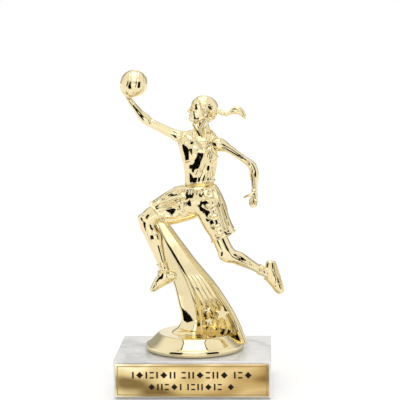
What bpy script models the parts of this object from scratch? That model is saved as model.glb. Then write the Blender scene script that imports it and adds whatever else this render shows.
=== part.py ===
"""Gold running-figure trophy on a marble base: a Blender 4.5 model in separate pieces.

Frame: origin at the centre of the underside, +Z up, +X to the right seen from the
front, the front faces -Y. Every length below is in millimetres; the scene is in metres.
The figure is moulded in garment-shaped pieces that plug into each other, stands on a
swept riser with a round foot, and one bolt from below holds the foot on the marble.
"""

import math

import bmesh
import bpy
from mathutils import Vector

MM = 0.001
GAP = 0.3  # clearance between neighbouring pieces
GROW = 0.36  # how much larger a socket is than what plugs into it

# ---- stand
MARBLE_W, MARBLE_D, MARBLE_H = 76.2, 57.15, 18.0
MARBLE_Z0 = 1.0
MARBLE_Z1 = MARBLE_Z0 + MARBLE_H
MARBLE_CHAMFER = 0.5
FELT_T = MARBLE_Z0 - GAP
FELT_INSET = 0.8
HOLE_R = 3.3
RECESS_R, RECESS_DEPTH = 11.5, 8.0
PLATE_W, PLATE_H, PLATE_T = 73.7, 15.8, 0.6
PLATE_Z = 9.8
TAPE_T = 0.4

# ---- foot of the figure: outer radius against height above its underside
FOOT_Z0 = MARBLE_Z1 + GAP
FOOT_H = 8.1
FOOT_OUTER = [
    (23.8, 0.0), (24.2, 0.35), (24.45, 1.0), (24.5, 1.8), (24.3, 2.6), (23.8, 3.1),
    (23.0, 3.6), (21.7, 4.7), (20.3, 6.0), (19.3, 6.95), (18.6, 7.6), (17.7, FOOT_H),
]
BOSS_R = 7.4
BORE_R = 2.9
NUT_AF, NUT_H, NUT_R = 8.0, 3.6, 2.75
NUT_Z0 = FOOT_Z0 + 0.3

# ---- bolt
BOLT_R = 2.45
BOLT_HEAD_AF, BOLT_HEAD_H = 8.0, 3.4
BOLT_TIP_Z = FOOT_Z0 + 5.2
WASHER_R, WASHER_T = 6.0, 0.9
LOCK_R, LOCK_T = 4.6, 1.2

# ---- ball
BALL_C, BALL_R = (-28.3, 0.0, 151.1), 6.7

# ---- limbs and body: stations of (x, y, z, half width across, half width in depth)
RIGHT_ARM = [
    (-3.6, 1.6, 123.6, 2.7, 2.7), (-7.2, 1.5, 125.0, 2.75, 2.9), (-11.5, 1.2, 127.1, 2.45, 2.6),
    (-16.5, 0.9, 129.7, 2.2, 2.3), (-21.4, 0.6, 132.2, 2.2, 2.2), (-24.6, 0.4, 135.2, 2.15, 2.3),
    (-27.4, 0.2, 138.8, 1.7, 2.0), (-30.1, 0.0, 142.3, 1.2, 1.6),
]
HAND = [
    (-29.6, 0.2, 141.6, 1.15, 1.6), (-31.1, 1.1, 143.5, 1.2, 2.2), (-33.0, 2.4, 145.2, 1.2, 2.9),
    (-34.4, 3.1, 147.6, 1.0, 2.9), (-34.9, 3.4, 149.6, 0.85, 2.5), (-35.1, 3.5, 151.2, 0.7, 1.9),
]
LEFT_ARM = [
    (9.0, -1.0, 121.3, 2.6, 2.6), (12.6, -1.5, 121.2, 3.0, 3.0), (16.4, -1.2, 119.5, 2.4, 2.7),
    (20.5, -0.5, 116.8, 1.9, 2.3), (25.2, 0.6, 113.4, 1.75, 2.1), (29.0, 1.6, 110.2, 2.1, 2.2),
    (30.2, 1.6, 106.2, 2.1, 2.2), (30.3, 1.1, 101.6, 1.8, 2.0), (30.3, 0.6, 97.6, 1.45, 1.7),
    (30.0, 0.3, 94.6, 1.9, 2.4), (29.9, 0.0, 92.0, 1.9, 2.5), (29.8, -0.2, 90.4, 1.3, 1.9),
]
RIGHT_LEG = [
    (-10.5, 2.4, 89.6, 4.2, 4.2), (-16.0, 2.0, 87.7, 4.5, 4.5), (-21.0, 1.4, 85.1, 4.5, 4.5),
    (-22.9, 1.1, 81.6, 4.1, 4.2), (-21.4, 1.0, 77.4, 3.7, 3.9), (-19.4, 1.1, 72.6, 3.6, 3.8),
    (-17.9, 1.1, 68.0, 3.0, 3.3), (-16.5, 1.0, 63.4, 2.3, 2.6), (-15.2, 0.9, 59.6, 2.1, 2.4),
    (-14.2, 0.8, 56.6, 1.9, 2.0),
]
RIGHT_SHOE = [
    (-9.9, 0.9, 55.6, 1.8, 2.0), (-11.5, 0.9, 55.9, 2.9, 2.6), (-14.2, 0.9, 55.0, 3.9, 2.8),
    (-17.0, 0.9, 52.7, 3.2, 2.7), (-19.4, 0.9, 50.2, 2.2, 2.9), (-21.2, 0.9, 48.3, 1.4, 2.2),
]
LEFT_LEG = [
    (11.4, -4.0, 79.5, 3.6, 3.8), (13.9, -4.0, 73.0, 3.9, 4.1), (16.2, -4.0, 68.4, 3.9, 4.2),
    (19.2, -3.7, 66.0, 3.3, 3.9), (23.4, -2.8, 64.0, 3.2, 3.7), (27.6, -1.4, 61.6, 2.6, 3.1),
    (31.6, 0.2, 59.0, 2.1, 2.5), (34.4, 1.2, 57.4, 2.1, 2.4), (36.6, 1.7, 56.2, 1.8, 2.0),
]
LEFT_SHOE = [
    (38.7, 2.0, 61.3, 1.6, 1.8), (37.9, 2.0, 59.3, 3.0, 2.6), (38.4, 2.0, 56.4, 4.2, 2.8),
    (40.4, 2.0, 53.2, 3.3, 2.7), (42.0, 2.0, 50.2, 2.4, 2.9), (43.0, 2.0, 47.9, 1.8, 2.3),
]
PONYTAIL = [
    (10.6, 0.0, 138.2, 1.1, 1.1), (13.4, 0.0, 137.0, 1.15, 1.2), (16.4, 0.0, 135.9, 1.15, 1.2),
    (18.9, 0.0, 136.6, 1.1, 1.1), (21.2, 0.0, 137.6, 1.7, 1.7), (23.6, 0.0, 137.0, 1.8, 1.9),
    (25.3, 0.0, 135.2, 1.3, 1.5), (26.0, 0.0, 133.8, 0.7, 0.9),
]
# body sections, bottom to top: (height, middle x, middle y, half width, half depth)
TORSO = [
    (97.2, 3.2, 0.0, 5.0, 3.4), (101.2, 3.3, 0.0, 5.3, 3.7), (101.5, 3.35, 0.0, 7.2, 5.2),
    (105.5, 3.4, 0.0, 7.5, 5.2), (110.0, 3.6, 0.1, 8.0, 5.6), (114.5, 3.5, 0.2, 9.0, 6.2),
    (118.5, 3.2, 0.2, 9.7, 6.4), (121.6, 3.0, 0.2, 9.9, 5.9), (124.2, 3.3, 0.2, 9.3, 4.9),
    (126.2, 3.6, 0.3, 7.3, 3.9), (127.6, 3.9, 0.3, 5.0, 3.0),
]
SHORTS_HIP = [
    (88.0, 3.8, -0.6, 7.4, 5.4), (91.5, 4.4, -0.6, 9.9, 6.6), (95.5, 4.2, -0.4, 10.2, 6.8),
    (99.0, 3.7, -0.2, 8.9, 6.2), (101.2, 3.35, 0.0, 7.5, 5.5),
]
SHORTS_RIGHT = [
    (2.5, 0.2, 92.4, 7.6, 5.8), (-3.5, 0.9, 92.0, 9.0, 6.3), (-9.5, 1.6, 89.8, 8.6, 6.3),
    (-14.2, 1.9, 88.0, 7.5, 6.2), (-18.2, 1.7, 86.6, 6.2, 6.0),
]
SHORTS_LEFT = [
    (6.0, -1.4, 95.0, 7.6, 5.8), (8.9, -2.6, 89.5, 7.8, 6.0), (11.2, -3.5, 83.6, 7.0, 5.9),
    (13.7, -4.0, 78.6, 6.4, 5.9), (14.3, -4.1, 73.9, 5.2, 5.4),
]
NECK = [
    (4.9, 0.0, 119.8, 2.0, 2.0), (4.6, 0.0, 123.0, 3.0, 2.8), (4.5, 0.0, 126.4, 3.0, 2.9),
    (4.5, 0.0, 129.2, 2.6, 2.7), (5.0, 0.0, 133.6, 2.9, 3.0),
]
HEAD_C, HEAD_R = (5.0, 0.0, 138.1), (7.3, 5.6, 6.7)

# ---- riser: height, then x of the left edge, of the rib beside the left band, of the
# line inside the right band and of the right edge; then the depth of the hollow between
# the bands and the half thickness
RISER = [
    (21.0, -11.6, 0.4, 22.0, 26.3, 13.8, 2.6), (27.3, -11.4, 0.8, 19.4, 23.8, 13.4, 2.6),
    (30.0, -8.2, 1.2, 18.2, 22.3, 11.0, 2.5), (34.0, -6.6, 1.3, 16.9, 20.3, 7.8, 2.4),
    (41.0, -7.9, 0.2, 13.4, 16.1, 4.2, 2.4), (51.0, -10.2, -3.2, 6.4, 9.4, 1.8, 2.5),
    (62.0, -14.6, -8.6, -1.2, 2.1, 0.8, 2.6), (72.5, -17.9, -14.2, -9.0, -7.4, 0.4, 2.6),
    (80.6, -20.0, -18.0, -14.6, -12.6, 0.2, 2.4),
]
RISER_Y = [
    (21.0, -10.0), (27.3, -9.6), (30.0, -7.2), (34.0, -4.4), (41.0, -2.2), (51.0, -0.4),
    (62.0, 1.2), (72.5, 2.2), (81.5, 2.6),
]
STARS = [(7.6, 32.2, 2.5), (14.1, 36.6, 3.7), (6.6, 37.9, 2.3)]  # x, z, outer radius
STAR_PROUD = 0.9


# ------------------------------------------------------------------ scene and helpers
for old in list(bpy.data.objects):
    bpy.data.objects.remove(old, do_unlink=True)
for old in list(bpy.data.collections):
    bpy.data.collections.remove(old)

PARTS = bpy.data.collections.new("figure_trophy")
CUTTERS = bpy.data.collections.new("figure_trophy_cutters")
bpy.context.scene.collection.children.link(PARTS)
bpy.context.scene.collection.children.link(CUTTERS)


def material(name, colour, metallic, roughness):
    mat = bpy.data.materials.new(name)
    mat.use_nodes = True
    shader = mat.node_tree.nodes["Principled BSDF"]
    shader.inputs["Base Color"].default_value = (*colour, 1.0)
    shader.inputs["Metallic"].default_value = metallic
    shader.inputs["Roughness"].default_value = roughness
    mat.diffuse_color = (*colour, 1.0)
    return mat


def gold(piece):
    return material("gold_" + piece, (0.86, 0.72, 0.42), 1.0, 0.12)


def steel(piece):
    return material("steel_" + piece, (0.60, 0.60, 0.62), 1.0, 0.35)


def add_object(name, mesh, mat, cutter=False):
    obj = bpy.data.objects.new(name, mesh)
    (CUTTERS if cutter else PARTS).objects.link(obj)
    if cutter:
        obj.hide_render = True
        obj.display_type = "WIRE"
    else:
        mesh.materials.append(mat)
    return obj


def from_bmesh(name, bm, mat, cutter=False, smooth=True, angle=35.0):
    bmesh.ops.recalc_face_normals(bm, faces=bm.faces)
    mesh = bpy.data.meshes.new(name)
    bm.to_mesh(mesh)
    bm.free()
    if smooth:
        mesh.shade_smooth()
        mesh.set_sharp_from_angle(angle=math.radians(angle))
    return add_object(name, mesh, mat, cutter)


def rings_to_bmesh(rings):
    """Skin a stack of equal-count rings and close both ends, a level one with one face."""
    bm = bmesh.new()
    rows = [[bm.verts.new(p * MM) for p in ring] for ring in rings]
    count = len(rows[0])
    for low, high in zip(rows, rows[1:]):
        for i in range(count):
            j = (i + 1) % count
            bm.faces.new((low[i], low[j], high[j], high[i]))
    for row in (rows[0], rows[-1]):
        if max(v.co.z for v in row) - min(v.co.z for v in row) < 1e-7:
            bm.faces.new(row)
            continue
        middle = Vector((0, 0, 0))
        for vert in row:
            middle += vert.co
        apex = bm.verts.new(middle / count)
        for i in range(count):
            bm.faces.new((row[i], row[(i + 1) % count], apex))
    return bm


def catmull(rows, i, t):
    a, b = rows[max(i - 1, 0)], rows[i]
    c, d = rows[i + 1], rows[min(i + 2, len(rows) - 1)]
    return [
        0.5 * (2 * q + (r - p) * t + (2 * p - 5 * q + 4 * r - s) * t * t + (3 * q - p - 3 * r + s) * t**3)
        for p, q, r, s in zip(a, b, c, d)
    ]


def limb_rings(stations, grow=0.0, sides=14, steps=2, lengthen=0.0):
    """Rings along a limb: oval sections square to a smooth line through the stations."""
    path = [list(s) for s in stations]
    if lengthen:
        for end, nxt in ((0, 1), (-1, -2)):
            p, q = Vector(path[end][:3]), Vector(path[nxt][:3])
            path[end][:3] = p + (p - q).normalized() * lengthen
    rows = []
    for i in range(len(path) - 1):
        for k in range(steps):
            rows.append(catmull(path, i, k / steps))
    rows.append(path[-1])
    rings = []
    for i, row in enumerate(rows):
        ahead = Vector(rows[min(i + 1, len(rows) - 1)][:3])
        behind = Vector(rows[max(i - 1, 0)][:3])
        along = (ahead - behind).normalized()
        depth = Vector((0, 1, 0)) - along * along.y
        depth.normalize()
        across = depth.cross(along)
        a, b = row[3] + grow, row[4] + grow
        centre = Vector(row[:3])
        ring = []
        for k in range(sides):
            turn = 2 * math.pi * k / sides
            ring.append(centre + across * (a * math.cos(turn)) + depth * (b * math.sin(turn)))
        rings.append(ring)
    # round the two ends
    for end, inner in ((0, 1), (-1, -2)):
        tip = sum(rings[end], Vector()) / sides
        nxt = sum(rings[inner], Vector()) / sides
        out = (tip - nxt).normalized()
        size = min((p - tip).length for p in rings[end])
        shrunk = [tip + (p - tip) * 0.62 + out * size * 0.45 for p in rings[end]]
        if end == 0:
            rings.insert(0, shrunk)
        else:
            rings.append(shrunk)
    return rings


def limb(name, stations, mat=None, cutter=False, **kw):
    return from_bmesh(name, rings_to_bmesh(limb_rings(stations, **kw)), mat, cutter)


def body_rings(sections, grow=0.0, sides=20, steps=2, power=2.3, lift=0.0):
    rows = []
    for i in range(len(sections) - 1):
        for k in range(steps):
            rows.append(catmull([list(s) for s in sections], i, k / steps))
    rows.append(list(sections[-1]))
    rings = []
    for n, (z, x, y, a, b) in enumerate(rows):
        z += -lift if n == 0 else (lift if n == len(rows) - 1 else 0.0)
        ring = []
        for k in range(sides):
            turn = 2 * math.pi * k / sides
            c, s = math.cos(turn), math.sin(turn)
            px = math.copysign(abs(c) ** (2 / power), c)
            py = math.copysign(abs(s) ** (2 / power), s)
            ring.append(Vector((x + (a + grow) * px, y + (b + grow) * py, z)))
        rings.append(ring)
    return rings


def boolean(obj, other, operation="DIFFERENCE"):
    mod = obj.modifiers.new(operation.lower() + "_" + other.name, "BOOLEAN")
    mod.operation = operation
    mod.object = other
    mod.solver = "EXACT"
    return mod


def cylinder(name, radius, z0, z1, mat=None, cutter=False, sides=48, x=0.0, y=0.0, turn=0.0):
    bm = bmesh.new()
    bmesh.ops.create_cone(
        bm, cap_ends=True, cap_tris=False, segments=sides,
        radius1=radius * MM, radius2=radius * MM, depth=(z1 - z0) * MM,
    )
    mesh_turn = math.radians(turn)
    for vert in bm.verts:
        vx, vy = vert.co.x, vert.co.y
        vert.co.x = vx * math.cos(mesh_turn) - vy * math.sin(mesh_turn) + x * MM
        vert.co.y = vx * math.sin(mesh_turn) + vy * math.cos(mesh_turn) + y * MM
        vert.co.z += (z0 + z1) / 2 * MM
    return from_bmesh(name, bm, mat, cutter)


def box(name, size, centre, mat=None, cutter=False):
    bm = bmesh.new()
    bmesh.ops.create_cube(bm, size=1.0)
    for vert in bm.verts:
        for axis in range(3):
            vert.co[axis] = (vert.co[axis] * size[axis] + centre[axis]) * MM
    return from_bmesh(name, bm, mat, cutter, smooth=False)


def turned(name, profile, mat=None, cutter=False, sides=48):
    """Spin a closed outline of (radius, height) about the trophy's axis."""
    bm = bmesh.new()
    rows = []
    for k in range(sides):
        turn = 2 * math.pi * k / sides
        rows.append([
            bm.verts.new((r * MM * math.cos(turn), r * MM * math.sin(turn), z * MM)) if r > 0 else None
            for r, z in profile
        ])
    poles = {i: bm.verts.new((0, 0, z * MM)) for i, (r, z) in enumerate(profile) if r == 0}
    count = len(profile)
    for k in range(sides):
        here, there = rows[k], rows[(k + 1) % sides]
        for i in range(count):
            j = (i + 1) % count
            if i in poles and j in poles:
                continue
            corners = [here[i] or poles[i], there[i] or poles[i], there[j] or poles[j], here[j] or poles[j]]
            seen = []
            for vert in corners:
                if vert not in seen:
                    seen.append(vert)
            bm.faces.new(seen)
    return from_bmesh(name, bm, mat, cutter)


def bevel(obj, width, segments=2, angle=40.0):
    mod = obj.modifiers.new("edge_round", "BEVEL")
    mod.width = width * MM
    mod.segments = segments
    mod.limit_method = "ANGLE"
    mod.angle_limit = math.radians(angle)
    return mod


# ------------------------------------------------------------------ stand
white = material("white_marble", (0.86, 0.86, 0.85), 0.0, 0.18)
marble = box("marble_base", (MARBLE_W, MARBLE_D, MARBLE_H), (0, 0, (MARBLE_Z0 + MARBLE_Z1) / 2), white)
bevel(marble, MARBLE_CHAMFER)
boolean(marble, cylinder("cut_hole", HOLE_R, MARBLE_Z0 - 3, MARBLE_Z1 + 3, cutter=True, sides=32))
boolean(marble, cylinder("cut_recess", RECESS_R, MARBLE_Z0 - 3, MARBLE_Z0 + RECESS_DEPTH, cutter=True, sides=48))

felt = box(
    "felt_sheet", (MARBLE_W - 2 * FELT_INSET, MARBLE_D - 2 * FELT_INSET, FELT_T), (0, 0, FELT_T / 2),
    material("grey_felt", (0.55, 0.55, 0.53), 0.0, 0.95),
)

front = -MARBLE_D / 2
tape_y = front - GAP - TAPE_T / 2
plate_y = front - GAP - TAPE_T - GAP - PLATE_T / 2
box("nameplate_tape", (PLATE_W - 4, TAPE_T, PLATE_H - 3), (0, tape_y, PLATE_Z), material("tape_white", (0.8, 0.8, 0.78), 0.0, 0.7))
plate = box("nameplate", (PLATE_W, PLATE_T, PLATE_H), (0, plate_y, PLATE_Z), material("brass_plate", (0.86, 0.70, 0.38), 1.0, 0.25))
bevel(plate, 0.2, 1)

# ------------------------------------------------------------------ foot of the figure
top_in = FOOT_Z0 + FOOT_H - 1.8
outline = [(r, FOOT_Z0 + h) for r, h in FOOT_OUTER]
outline.append((0.0, FOOT_Z0 + FOOT_H))
outline.append((0.0, FOOT_Z0 + 5.7))
outline += [(BORE_R, FOOT_Z0 + 5.7), (BORE_R, FOOT_Z0), (BOSS_R, FOOT_Z0), (BOSS_R, top_in)]
outline += [(16.0, top_in), (19.6, FOOT_Z0 + 3.8), (21.6, FOOT_Z0 + 2.4), (22.0, FOOT_Z0)]
foot = turned("figure_pedestal", outline, gold("pedestal"))
boolean(foot, cylinder("cut_nut_pocket", (NUT_AF / 2 + GAP) / math.cos(math.pi / 6), FOOT_Z0 - 1, NUT_Z0 + NUT_H + GAP, cutter=True, sides=6))

nut = cylinder("hex_nut", NUT_AF / 2 / math.cos(math.pi / 6), NUT_Z0, NUT_Z0 + NUT_H, steel("nut"), sides=6)
boolean(nut, cylinder("cut_nut_bore", NUT_R, NUT_Z0 - 1, NUT_Z0 + NUT_H + 1, cutter=True, sides=32))

# ------------------------------------------------------------------ bolt stack, in the recess
ceiling = MARBLE_Z0 + RECESS_DEPTH
washer_z1 = ceiling - GAP
washer_z0 = washer_z1 - WASHER_T
lock_z1 = washer_z0 - GAP
lock_z0 = lock_z1 - LOCK_T
head_z1 = lock_z0 - GAP
head_z0 = head_z1 - BOLT_HEAD_H

washer = cylinder("flat_washer", WASHER_R, washer_z0, washer_z1, steel("washer"), sides=40)
boolean(washer, cylinder("cut_washer", BOLT_R + GAP, washer_z0 - 1, washer_z1 + 1, cutter=True, sides=32))
lock = cylinder("lock_washer", LOCK_R, lock_z0, lock_z1, steel("lock_washer"), sides=36)
boolean(lock, cylinder("cut_lock", BOLT_R + GAP, lock_z0 - 1, lock_z1 + 1, cutter=True, sides=32))
boolean(lock, box("cut_lock_split", (4.0, 0.6, 4.0), (LOCK_R - 0.5, 0, (lock_z0 + lock_z1) / 2), cutter=True))
bolt = cylinder("hex_bolt", BOLT_HEAD_AF / 2 / math.cos(math.pi / 6), head_z0, head_z1, steel("bolt"), sides=6)
boolean(bolt, cylinder("add_shank", BOLT_R, head_z0 + 1.0, BOLT_TIP_Z, cutter=True, sides=32), "UNION")

# ------------------------------------------------------------------ the figure's pieces
ball_bm = bmesh.new()
bmesh.ops.create_uvsphere(ball_bm, u_segments=24, v_segments=14, radius=BALL_R * MM)
bmesh.ops.translate(ball_bm, verts=ball_bm.verts, vec=Vector(BALL_C) * MM)
from_bmesh("basketball", ball_bm, gold("ball"))
grown_bm = bmesh.new()
bmesh.ops.create_uvsphere(grown_bm, u_segments=32, v_segments=20, radius=(BALL_R + GROW) * MM)
bmesh.ops.translate(grown_bm, verts=grown_bm.verts, vec=Vector(BALL_C) * MM)
cut_ball = from_bmesh("cut_ball", grown_bm, None, cutter=True)

jersey = from_bmesh("jersey_torso", rings_to_bmesh(body_rings(TORSO)), gold("jersey"))
right_arm = limb("right_arm", RIGHT_ARM, gold("right_arm"))
boolean(right_arm, limb("add_hand", HAND, cutter=True), "UNION")
boolean(right_arm, cut_ball)
left_arm = limb("left_arm", LEFT_ARM, gold("left_arm"))
thumb = limb("add_thumb", [(29.6, 0.2, 97.4, 0.7, 0.7), (27.4, 0.0, 96.0, 0.55, 0.6), (25.2, -0.2, 94.6, 0.4, 0.45)], cutter=True, sides=8)
boolean(left_arm, thumb, "UNION")

head_bm = bmesh.new()
bmesh.ops.create_uvsphere(head_bm, u_segments=24, v_segments=14, radius=1.0)
for vert in head_bm.verts:
    for axis in range(3):
        vert.co[axis] = (vert.co[axis] * HEAD_R[axis] + HEAD_C[axis]) * MM
head = from_bmesh("head", head_bm, gold("head"))
boolean(head, limb("add_neck", NECK, cutter=True), "UNION")
boolean(head, limb("add_jaw", [(3.6, 0.0, 136.0, 3.4, 3.6), (0.9, 0.0, 133.9, 2.4, 3.0), (-0.4, 0.0, 132.9, 1.7, 2.2)], cutter=True), "UNION")
ponytail = limb("ponytail", PONYTAIL, gold("ponytail"), sides=12)
boolean(head, limb("cut_ponytail", PONYTAIL[:4], cutter=True, grow=GROW, sides=12))

shorts = from_bmesh("shorts", rings_to_bmesh(body_rings(SHORTS_HIP)), gold("shorts"))
boolean(shorts, limb("add_right_thigh", SHORTS_RIGHT, cutter=True, sides=20), "UNION")
boolean(shorts, limb("add_left_thigh", SHORTS_LEFT, cutter=True, sides=20), "UNION")

right_leg = limb("right_leg", RIGHT_LEG, gold("right_leg"))
left_leg = limb("left_leg", LEFT_LEG, gold("left_leg"))
right_shoe = limb("right_shoe", RIGHT_SHOE, gold("right_shoe"))
left_shoe = limb("left_shoe", LEFT_SHOE, gold("left_shoe"))

# sockets: each garment is hollowed by what plugs into it
boolean(jersey, limb("cut_right_arm", RIGHT_ARM[:5], cutter=True, grow=GROW))
boolean(jersey, limb("cut_left_arm", LEFT_ARM[:6], cutter=True, grow=GROW))
boolean(jersey, limb("cut_neck", NECK, cutter=True, grow=GROW))
boolean(shorts, from_bmesh("cut_waist", rings_to_bmesh(body_rings(TORSO[:4], grow=GROW, lift=0.35)), None, cutter=True))
boolean(shorts, limb("cut_right_leg", RIGHT_LEG, cutter=True, grow=GROW, lengthen=0.4))
boolean(shorts, limb("cut_left_leg", LEFT_LEG, cutter=True, grow=GROW, lengthen=0.4))
boolean(right_shoe, bpy.data.objects["cut_right_leg"])
boolean(left_shoe, bpy.data.objects["cut_left_leg"])


# ------------------------------------------------------------------ riser
def at(rows, z, column):
    if z <= rows[0][0]:
        return rows[0][column]
    for low, high in zip(rows, rows[1:]):
        if z <= high[0]:
            t = (z - low[0]) / (high[0] - low[0])
            return low[column] + (high[column] - low[column]) * t
    return rows[-1][column]


def riser_front(z, u):
    """Front face of the riser at height z: u runs 0 at the left edge to 1 at the right."""
    left, rib, line, right = (at(RISER, z, c) for c in (1, 2, 3, 4))
    hollow = at(RISER, z, 5)
    y0 = at(RISER_Y, z, 1)
    if u < 0.3:
        t = u / 0.3
        x = left + (rib - left) * t
        y = y0 + hollow * 0.45 * (1 - t) ** 1.6
    elif u < 0.8:
        t = (u - 0.3) / 0.5
        x = rib + (line - rib) * t
        y = y0 + hollow * min(1.0, (t * 5.0)) ** 0.8
    else:
        t = (u - 0.8) / 0.2
        x = line + (right - line) * t
        y = y0 + hollow * (1 - 0.55 * math.sin(math.pi * min(0.75, t * 0.9)))
    return x, y


riser_rings = []
heights = [22.0, 24.5, 27.3, 29.5, 31.5, 34.0, 37.5, 41.0, 46.0, 51.0, 56.5, 62.0, 67.0, 72.5, 76.5, 80.6]
columns = [0.0, 0.08, 0.16, 0.24, 0.30, 0.34, 0.40, 0.5, 0.6, 0.7, 0.8, 0.86, 0.93, 1.0]
for z in heights:
    half = at(RISER, z, 6)
    face, back = [], []
    for u in columns:
        x, y = riser_front(z, u)
        edge = math.sin(math.pi * min(max(u, 0.06), 0.94)) ** 0.35
        face.append(Vector((x, y + half * (1 - edge), z)))
        back.append(Vector((x, max(y, at(RISER_Y, z, 1) + at(RISER, z, 5) * 0.5) + half * (1 + edge), z)))
    riser_rings.append(face + back[::-1])
riser = from_bmesh("comet_riser", rings_to_bmesh(riser_rings), gold("riser"))


grown_foot = [(0.0, FOOT_Z0 - 4)] + [(r + GAP, FOOT_Z0 + h + GAP * (h > 2)) for r, h in [(23.7, -4.0)] + FOOT_OUTER] + [(0.0, FOOT_Z0 + FOOT_H + GAP)]
boolean(riser, turned("cut_foot", grown_foot, cutter=True))
boolean(riser, bpy.data.objects["cut_right_leg"])
boolean(riser, limb("cut_right_shoe", RIGHT_SHOE, cutter=True, grow=GROW))
boolean(riser, limb("cut_right_thigh", SHORTS_RIGHT, cutter=True, grow=GROW, lengthen=0.4, sides=20))


def star_outline(radius):
    for k in range(10):
        turn = math.pi / 2 + math.pi * k / 5
        reach = radius if k % 2 == 0 else radius * 0.42
        yield reach * math.cos(turn), reach * math.sin(turn)


for n, (sx, sz, sr) in enumerate(STARS):
    bm = bmesh.new()
    wall = at(RISER_Y, sz, 1) + at(RISER, sz, 5)
    outline_xz = list(star_outline(sr))
    near = [bm.verts.new(((sx + x) * MM, (wall - STAR_PROUD) * MM, (sz + z) * MM)) for x, z in outline_xz]
    far = [bm.verts.new(((sx + x) * MM, (wall + 1.6) * MM, (sz + z) * MM)) for x, z in outline_xz]
    crown = bm.verts.new((sx * MM, (wall - STAR_PROUD - 0.6) * MM, sz * MM))
    bm.faces.new(far)
    for i in range(10):
        j = (i + 1) % 10
        bm.faces.new((near[i], near[j], far[j], far[i]))
        bm.faces.new((near[i], near[j], crown))
    star = from_bmesh(f"add_star_{n}", bm, None, cutter=True, smooth=False)
    boolean(riser, star, "UNION")
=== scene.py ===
"""Looks of the basketball figure trophy: sculpted gold figure, comet riser and round foot
on a white marble block with a brass name plate.  Lengths in this file are millimetres
until a mesh is made, and metres from there on."""

import math
from concurrent.futures import ThreadPoolExecutor

import bpy
import numpy as np
from mathutils import Matrix, Vector


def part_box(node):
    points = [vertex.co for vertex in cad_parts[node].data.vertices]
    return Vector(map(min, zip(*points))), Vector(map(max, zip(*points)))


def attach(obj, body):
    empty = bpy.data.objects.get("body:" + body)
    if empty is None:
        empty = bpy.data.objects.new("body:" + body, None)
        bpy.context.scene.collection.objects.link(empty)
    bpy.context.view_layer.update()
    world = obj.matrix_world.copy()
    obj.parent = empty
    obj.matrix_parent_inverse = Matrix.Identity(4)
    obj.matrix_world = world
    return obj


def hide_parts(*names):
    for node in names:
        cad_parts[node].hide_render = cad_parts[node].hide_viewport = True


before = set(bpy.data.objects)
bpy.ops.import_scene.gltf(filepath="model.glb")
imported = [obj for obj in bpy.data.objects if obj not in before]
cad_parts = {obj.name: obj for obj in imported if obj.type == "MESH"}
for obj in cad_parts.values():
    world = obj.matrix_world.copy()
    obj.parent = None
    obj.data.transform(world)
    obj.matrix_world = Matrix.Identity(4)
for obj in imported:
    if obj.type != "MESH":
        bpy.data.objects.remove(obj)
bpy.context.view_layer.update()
POOL = ThreadPoolExecutor(4)

# ------------------------------------------------------------------ driving shapes
BALL_C, BALL_R = (-28.3, 0.0, 151.1), 6.7
RIGHT_ARM = [
    (-3.6, 1.6, 123.6, 2.7, 2.7), (-7.2, 1.5, 125.0, 2.75, 2.9), (-11.5, 1.2, 127.1, 2.45, 2.6),
    (-16.5, 0.9, 129.7, 2.2, 2.3), (-21.4, 0.6, 132.2, 2.2, 2.2), (-24.6, 0.4, 135.2, 2.15, 2.3),
    (-27.4, 0.2, 138.8, 1.7, 2.0), (-30.1, 0.0, 142.3, 1.2, 1.6),
]
LEFT_ARM = [
    (9.0, -1.0, 121.3, 2.6, 2.6), (12.6, -1.5, 121.2, 3.0, 3.0), (16.4, -1.2, 119.5, 2.4, 2.7),
    (20.5, -0.5, 116.8, 1.9, 2.3), (25.2, 0.6, 113.4, 1.75, 2.1), (29.0, 1.6, 110.2, 2.1, 2.2),
    (30.2, 1.6, 106.2, 2.1, 2.2), (30.3, 1.1, 101.6, 1.8, 2.0), (30.3, 0.6, 97.6, 1.35, 1.7),
]
RIGHT_LEG = [
    (-10.5, 2.4, 89.6, 4.2, 4.2), (-16.0, 2.0, 87.7, 4.5, 4.5), (-21.0, 1.4, 85.1, 4.5, 4.5),
    (-22.9, 1.1, 81.6, 4.1, 4.2), (-21.4, 1.0, 77.4, 3.7, 3.9), (-19.4, 1.1, 72.6, 3.6, 3.8),
    (-17.9, 1.1, 68.0, 3.0, 3.3), (-16.5, 1.0, 63.4, 2.3, 2.6), (-15.2, 0.9, 59.6, 2.1, 2.4),
    (-14.2, 0.8, 56.6, 1.9, 2.0),
]
LEFT_LEG = [
    (11.4, -4.0, 79.5, 3.6, 3.8), (13.9, -4.0, 73.0, 3.9, 4.1), (16.2, -4.0, 68.4, 3.9, 4.2),
    (19.2, -3.7, 66.0, 3.3, 3.9), (23.4, -2.8, 64.0, 3.2, 3.7), (27.6, -1.4, 61.6, 2.6, 3.1),
    (31.6, 0.2, 59.0, 2.1, 2.5), (34.4, 1.2, 57.4, 2.1, 2.4), (36.6, 1.7, 56.2, 1.8, 2.0),
]
PONYTAIL = [
    (10.6, 0.0, 138.2, 1.1, 1.1), (13.4, 0.0, 137.0, 1.15, 1.2), (16.4, 0.0, 135.9, 1.15, 1.2),
    (18.9, 0.0, 136.6, 1.1, 1.1), (21.2, 0.0, 137.6, 1.7, 1.7), (23.6, 0.0, 137.0, 1.8, 1.9),
    (25.3, 0.0, 135.2, 1.3, 1.5), (26.0, 0.0, 133.8, 0.7, 0.9),
]
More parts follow.
